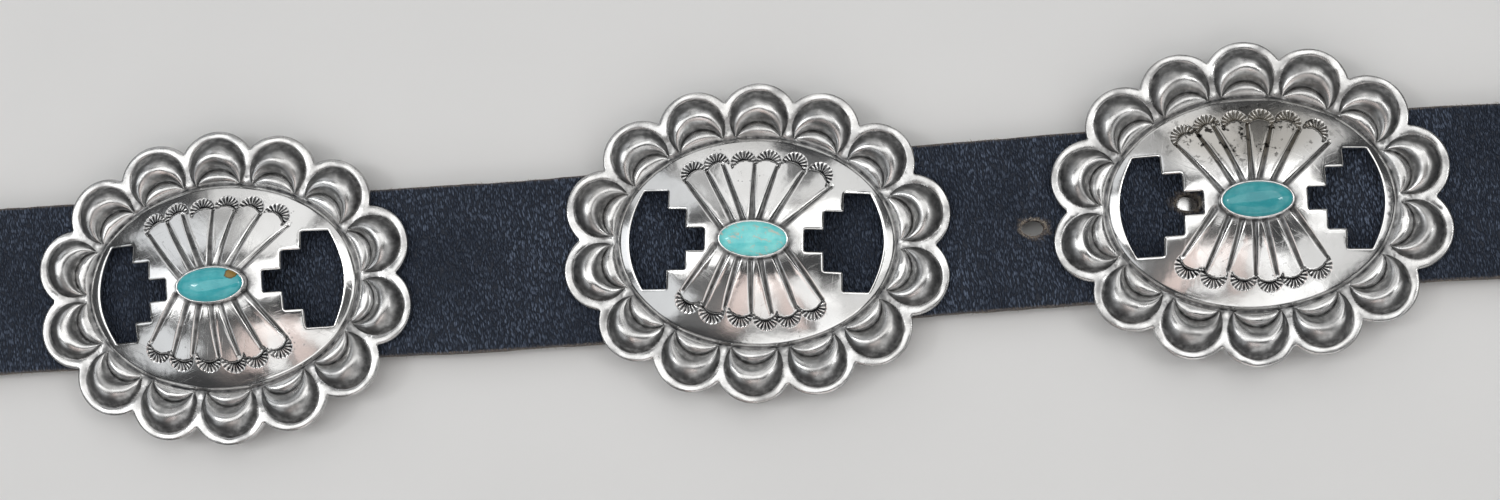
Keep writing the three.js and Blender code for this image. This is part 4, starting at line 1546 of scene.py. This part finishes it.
@dataclass(frozen=True)
class SilverFinish:
    """Hand-polished silver with oxide left in the recesses, and with painted shade where the stored
    darkness marks it.

    Attributes:
        struck: Whether the piece has its oxide and painted shade stored on its points.
        smudge: Middle of a few stained millimetres, if it has any.
    """

    name: str
    bright: tuple = (0.8, 0.8, 0.795, 1)
    film: tuple = (0.68, 0.67, 0.655, 1)
    # Dark colour: oxide in the recesses, and painted shade where the stored darkness marks it.
    dark: tuple = (0.02, 0.021, 0.024, 1)
    stain: tuple = (0.3, 0.27, 0.22, 1)
    soot: tuple = (0.035, 0.033, 0.03, 1)
    rough: float = 0.13
    pits: float = 0.35
    plain_oxide: float = 0.06
    struck: bool = True
    smudge: tuple | None = None

    def make(self, shelf: EffectShelf) -> Material:
        """Builds the material."""
        material, bench, shader = new_material(self.name)
        place_on = bench.place()
        oxide_and_shade = bench.stored("oxide_and_shade") if self.struck else self.plain_oxide
        tarnish_and_shade = shelf.put(bench, shelf.tarnish_and_shade, Place=place_on, Oxide=oxide_and_shade, Pits=self.pits)
        marks = shelf.put(bench, shelf.scratches, Place=place_on, Density=0.35)
        dark, film = tarnish_and_shade.outputs["Dark"], tarnish_and_shade.outputs["Film"]
        polish = bench.blend(bench.times(film, 0.7), self.bright, self.film)
        # The dark colour paints the oxide in the recesses and also the painted shade on the moons'
        # flanks, the rays' walls and inside the bezel.
        colour = bench.blend(dark, polish, self.dark)
        if self.smudge:
            near, smudges = self._smudges(bench, place_on)
            colour = bench.blend(bench.times(near, 0.55), colour, self.stain)
            colour = bench.blend(smudges, colour, self.soot)
        bench.feed(shader.inputs["Base Color"], colour)
        shader.inputs["Metallic"].default_value = 1.0
        rough: object = self.rough
        for cause, share in ((dark, 0.3), (marks.outputs["Mask"], 0.12), (film, 0.06)):
            rough = bench.plus(bench.times(cause, share), rough)
        bench.feed(shader.inputs["Roughness"], rough)
        soft = bench.bump(bench.noise(place_on, 330, 2, 0.5), 0.35, 0.00012)
        bench.feed(shader.inputs["Normal"], bench.bump(marks.outputs["Height"], 0.4, 0.00002, soft))
        return material

    def _smudges(self, bench: NodeBench, place_on: Wire) -> tuple[Wire, Wire]:
        """Mask of the few millimetres round the smudge, and of the ragged soot in them."""
        scale = (70, 190, 0)
        shift = (-self.smudge[0] * scale[0] * MM, -self.smudge[1] * scale[1] * MM, 0)
        away = bench.length(bench.stretch(place_on, scale, 0, shift))
        near = bench.spread(away, 1.15, 0.5)
        ragged = bench.noise(place_on, 620, 5, 0.68)
        return near, bench.times(bench.spread(ragged, 0.56, 0.61), near)


@dataclass(frozen=True)
class StoneTone:
    """Colours of a stone, and the range of noise over which its matrix shows."""

    deep: tuple
    light: tuple
    matrix: tuple
    flecks: tuple[float, float]


TONES = {
    Shade.SPOTTED: StoneTone(
        (0.055, 0.4, 0.45, 1), (0.1, 0.5, 0.54, 1), (0.3, 0.19, 0.05, 1), (0.66, 0.74)
    ),
    Shade.FLECKED: StoneTone(
        (0.16, 0.68, 0.7, 1), (0.27, 0.82, 0.8, 1), (0.66, 0.56, 0.45, 1), (0.54, 0.66)
    ),
    Shade.DEEP: StoneTone(
        (0.04, 0.31, 0.35, 1), (0.075, 0.4, 0.43, 1), (0.09, 0.22, 0.17, 1), (0.7, 0.8)
    ),
}


@dataclass(frozen=True)
class TurquoiseFinish:
    """Polished turquoise with a little matrix.

    Attributes:
        spot: Middle of the round brown spot on the spotted stone.
    """

    shade: Shade
    speck: tuple = (0.12, 0.2, 0.17, 1)
    spot_rim: tuple = (0.1, 0.07, 0.02, 1)
    spot: tuple = (162.1, 0.55)

    def make(self) -> Material:
        """Builds the material."""
        tone = TONES[self.shade]
        material, bench, shader = new_material("turquoise " + self.shade.value)
        place_on = bench.place()
        cloud = bench.spread(bench.noise(place_on, 420, 4, 0.6), 0.32, 0.68)
        body = bench.blend(cloud, tone.deep, tone.light)
        veins = bench.noise(bench.stretch(place_on, (1, 1.5, 1), 24), 760, 5, 0.66)
        fleck = bench.spread(veins, *tone.flecks)
        flecked = bench.blend(bench.times(fleck, 0.75), body, tone.matrix)
        if self.shade is Shade.SPOTTED:
            shift = (-self.spot[0], -self.spot[1] * 1.3, 0)
            away = bench.length(bench.stretch(place_on, (1000, 1300, 0), 0, shift))
            frayed = bench.plus(away, bench.noise(place_on, 1500, 3, 0.6))
            flecked = bench.blend(bench.spread(frayed, 1.62, 1.35), flecked, self.spot_rim)
            flecked = bench.blend(bench.spread(frayed, 1.4, 1.15), flecked, tone.matrix)
        dots = bench.spread(bench.noise(place_on, 2600, 2, 0.5), 0.7, 0.78)
        colour = bench.blend(bench.times(dots, 0.4), flecked, self.speck)
        bench.feed(shader.inputs["Base Color"], colour)
        bench.feed(shader.inputs["Roughness"], bench.plus(bench.times(fleck, 0.12), 0.09))
        shader.inputs["Specular IOR Level"].default_value = 0.45
        bench.feed(shader.inputs["Normal"], bench.bump(bench.times(fleck, -1.0), 0.25, 0.00004))
        return material


@dataclass(frozen=True)
class LeatherFinish:
    """Blue-black grain leather, worn dull, with tan showing at its raw edges; the grain's tops are
    painted lighter as sheen and its creases painted darker as shade.
    """

    dark: tuple = (0.021, 0.0295, 0.049, 1)
    # Light colour: the painted sheen on the grain's tops.
    light: tuple = (0.138, 0.176, 0.255, 1)
    # Crease colour: the painted shade in the grain's creases.
    crease: tuple = (0.003, 0.0035, 0.006, 1)
    raw: tuple = (0.34, 0.275, 0.215, 1)
    rough: float = 0.4
    relief: float = 0.0007

    def make(self, shelf: EffectShelf) -> Material:
        """Builds the material."""
        material, bench, shader = new_material("blue-black leather")
        place_on = bench.place()
        grain = shelf.put(bench, shelf.grain, Place=place_on, Pitch=3600.0).outputs
        worn = bench.spread(bench.noise(place_on, 55, 3, 0.6), 0.3, 0.75)
        # Painted sheen: the light colour goes on the grain's tops, with the per-cell tint; painted
        # shade: the crease colour goes into the creases.
        shade = bench.times(grain["TintAndSheen"], bench.plus(worn, 0.3))
        top = bench.blend(bench.times(shade, 0.7), self.dark, self.light)
        top = bench.blend(bench.times(grain["CreaseShade"], 0.3), top, self.crease)
        fibre = bench.noise(bench.stretch(place_on, (1, 1, 2)), 2400, 4, 0.7)
        bare = bench.times(bench.stored("raw"), bench.spread(fibre, 0.38, 0.62, 0.15, 0.9))
        bench.feed(shader.inputs["Base Color"], bench.blend(bare, top, self.raw))
        rough = bench.plus(self.rough, bench.times(worn, 0.14))
        bench.feed(shader.inputs["Roughness"], bench.plus(rough, bench.times(bare, 0.35)))
        shader.inputs["Specular IOR Level"].default_value = 0.45
        bench.feed(shader.inputs["Normal"], bench.bump(grain["Height"], 1.0, self.relief))
        return material


@dataclass(frozen=True)
class MixedFinish:
    """Dull finish that wanders between two colours.

    Attributes:
        clumps: Range of the noise that is stretched to the whole mix, if it is.
    """

    name: str
    first: tuple
    second: tuple
    scale: float
    rough: float
    more_rough: float = 0.0
    noise: tuple = (3, 0.5)
    clumps: tuple | None = None

    def make(self) -> Material:
        """Builds the material."""
        material, bench, shader = new_material(self.name)
        mix = bench.noise(bench.place(), self.scale, *self.noise)
        if self.clumps:
            mix = bench.spread(mix, *self.clumps)
        bench.feed(shader.inputs["Base Color"], bench.blend(mix, self.first, self.second))
        rough = bench.plus(self.rough, bench.times(mix, self.more_rough))
        bench.feed(shader.inputs["Roughness"], rough)
        return material


FIBRE_FINISH = MixedFinish(
    "leather fibre", (0.16, 0.14, 0.125, 1), (0.46, 0.41, 0.34, 1), 420, 0.72, 0.15, (3, 0.6),
    (0.35, 0.65),
)
FLOOR_FINISH = MixedFinish(
    "pale floor", (0.74, 0.74, 0.735, 1), (0.78, 0.78, 0.775, 1), 30, 0.75
)


@dataclass
class ConchoRow:
    """The nine conchos with their stones, each copied from one model."""

    plate: ConchoPlate
    setting: Setting
    loops: BeltLoops
    count: int = 9
    stain_above: float = 10.5
    unevenness: float = 0.05
    turns: dict[int, float] = field(default_factory=lambda: {7: 0.8, 8: -4.8, 9: -1.6})
    shades: dict[int, Shade] = field(
        default_factory=lambda: {
            7: Shade.SPOTTED, 8: Shade.FLECKED, 9: Shade.DEEP,
            1: Shade.FLECKED, 3: Shade.DEEP, 5: Shade.FLECKED, 6: Shade.DEEP,
        }
    )

    def build(self, shelf: EffectShelf) -> None:
        """Models one concho, dresses it, and copies it along the strap."""
        plate = self.plate.build()
        bezel = self.setting.build_bezel()
        loops = self.loops.build()
        struck = SilverFinish("struck silver").make(shelf)
        plain = SilverFinish("plain silver", struck=False, rough=0.2).make(shelf)
        plate.data.materials.append(struck)
        bezel.data.materials.append(struck)
        loops.data.materials.append(plain)
        model = join([plate, bezel, loops], "concho_model")
        stone = self.setting.build_stone()
        finishes = {shade: TurquoiseFinish(shade).make() for shade in Shade}
        for number in range(1, self.count + 1):
            node = f"concho_{number}"
            stone_low, stone_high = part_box(f"stone_{number}")
            middle = (stone_low + stone_high) / 2 / MM
            turn = self.turns.get(number, 0.0)
            piece = copy_of(model, f"silver_concho_{number}")
            if number == self.count:
                spot = (middle.x, middle.y + self.stain_above)
                piece.data.materials[0] = SilverFinish("stained silver", smudge=spot).make(shelf)
            self._make_uneven(piece, number)
            place(piece, middle.x, middle.y, turn)
            hand_in(piece, Slot.SILVER, node)
            gem = copy_of(stone, f"turquoise_{number}")
            place(gem, middle.x, middle.y, turn)
            gem.data.materials.append(finishes[self.shades.get(number, Shade.SPOTTED)])
            hand_in(gem, Slot.TURQUOISE, f"stone_{number}")
        bpy.data.objects.remove(model)
        bpy.data.objects.remove(stone)

    def _make_uneven(self, piece: Piece, number: int) -> None:
        """Gives a copied concho small bends of its own, within its full size."""
        points = coords_of(piece)
        x, y = points[:, 0], points[:, 1]
        x += self.unevenness * ripple(x, y, 15, 100 + number)
        y += self.unevenness * ripple(y, x, 15, 200 + number)
        reach = np.array([self.plate.length / 2, self.plate.width / 2])
        points[:, :2] = np.clip(points[:, :2], -reach, reach)
        set_coords(piece, points)


@dataclass
class Studio:
    """Floor, lights and camera."""

    camera_place: tuple = (266.86, -29.70, 315.05)
    forward: tuple = (-0.0776, 0.0925, -0.9927)
    up: tuple = (0.0699, 0.9937, 0.0872)
    lens: float = 48.14
    focus_x: float = 243.0

    def build(self) -> None:
        """Sets the whole studio up."""
        self._floor()
        self._lights()
        self._camera()

    def _floor(self) -> None:
        """Adds the floor just under the belt."""
        deselect()
        bpy.ops.mesh.primitive_plane_add(size=6, location=(0, 0, -0.0003))
        floor = bpy.context.object
        floor.name = "floor"
        bake_place(floor)
        floor.data.materials.append(FLOOR_FINISH.make())

    def _area(self, name: str, spot: tuple, size: tuple, glow: float, tint: tuple) -> None:
        """Adds one soft light that faces the middle of the view.

        Args:
            name: Name of the light.
            spot: Where it hangs, from the middle of the view.
            size: Its width and depth.
            glow: Its brightness as a mirror shows it.
            tint: Its colour.
        """
        data = bpy.data.lights.new(name, "AREA")
        data.shape = "RECTANGLE"
        data.size, data.size_y = size[0] * MM, size[1] * MM
        data.energy = glow * math.pi * data.size * data.size_y
        data.color = tint
        lamp = bpy.data.objects.new(name, data)
        bpy.context.scene.collection.objects.link(lamp)
        lamp.location = (Vector(spot) + Vector((self.focus_x, 0, 0))) * MM
        lamp.rotation_mode = "QUATERNION"
        lamp.rotation_quaternion = (-Vector(spot)).to_track_quat("-Z", "Y")

    def _lights(self) -> None:
        """Adds the soft lights and the dim room round them."""
        white, cool, warm = (1.0, 0.995, 0.985), (0.96, 0.98, 1.0), (1.0, 0.81, 0.75)
        self._area("zenith sheet", (-40, 120, 900), (1500, 440), 1.8, white)
        back_cards = (
            (-900, 560, 0.8, cool), (-420, 310, 0.45, white), (-12, 496, 0.95, white),
            (290, 200, 0.1, white), (680, 560, 0.8, white),
        )
        front_cards = (
            (-920, 520, 0.8, cool), (-440, 360, 0.1, white), (-206, 166, 0.88, warm),
            (-55, 130, 1.2, white), (85, 130, 0.8, warm), (270, 200, 1.1, white),
            (680, 540, 0.8, white),
        )
        rows = (("back", 850, 900, 800, back_cards), ("front", -570, 800, 540, front_cards))
        for name, y, z, deep, cards in rows:
            for number, (x, wide, glow, tint) in enumerate(cards):
                self._area(f"{name} card {number}", (x, y, z), (wide, deep), glow, tint)
        for name, spot, size, glow, tint in (
            ("low back bank", (-280, 1290, 560), (760, 330), 0.8, white),
            ("low front bank", (260, -1000, 560), (960, 360), 1.25, white),
            ("left strip", (-900, 100, 880), (560, 620), 1.15, cool),
            ("right strip", (900, -60, 880), (560, 620), 1.15, white),
            ("left lamp", (-660, 90, 900), (90, 130), 16.0, white),
            ("right lamp", (640, 30, 900), (80, 110), 14.0, white),
        ):
            self._area(name, spot, size, glow, tint)
        world = bpy.data.worlds.new("dim studio")
        world.use_nodes = True
        back = next(n for n in world.node_tree.nodes if n.type == "BACKGROUND")
        back.inputs["Color"].default_value = (0.5, 0.51, 0.53, 1)
        back.inputs["Strength"].default_value = 0.1
        bpy.context.scene.world = world
        bpy.context.scene.view_settings.view_transform = "Standard"

    def _camera(self) -> None:
        """Adds the camera at the photograph's angle."""
        data = bpy.data.cameras.new("camera")
        data.lens = self.lens
        data.sensor_width = 36
        data.clip_start = 0.01
        camera = bpy.data.objects.new("camera", data)
        bpy.context.scene.collection.objects.link(camera)
        z_axis = -Vector(self.forward).normalized()
        x_axis = Vector(self.up).cross(z_axis).normalized()
        y_axis = z_axis.cross(x_axis)
        basis = [[x_axis[i], y_axis[i], z_axis[i], self.camera_place[i] * MM] for i in range(3)]
        camera.matrix_world = Matrix([*basis, [0, 0, 0, 1]])
        bpy.context.scene.camera = camera


def main() -> None:
    """Builds the belt piece by piece, then the studio."""
    logging.basicConfig(level=logging.INFO, format="%(message)s")
    deselect()
    shelf = EffectShelf()
    ConchoRow(ConchoPlate(), Setting(), BeltLoops()).build(shelf)
    strap = Strap()
    leather = strap.build()
    strap.mark_raw_edges(leather)
    leather.data.materials.append(LeatherFinish().make(shelf))
    hand_in(leather, Slot.LEATHER, "strap")
    fibres = strap.build_fibres()
    fibres.data.materials.append(FIBRE_FINISH.make())
    hand_in(fibres, Slot.LEATHER)
    buckle = Buckle().build()
    soft_silver = SilverFinish("buckle silver", struck=False, rough=0.22)
    buckle.data.materials.append(soft_silver.make(shelf))
    hand_in(buckle, Slot.SILVER, "buckle")
    Studio().build()


if __name__ == "__main__":
    main()
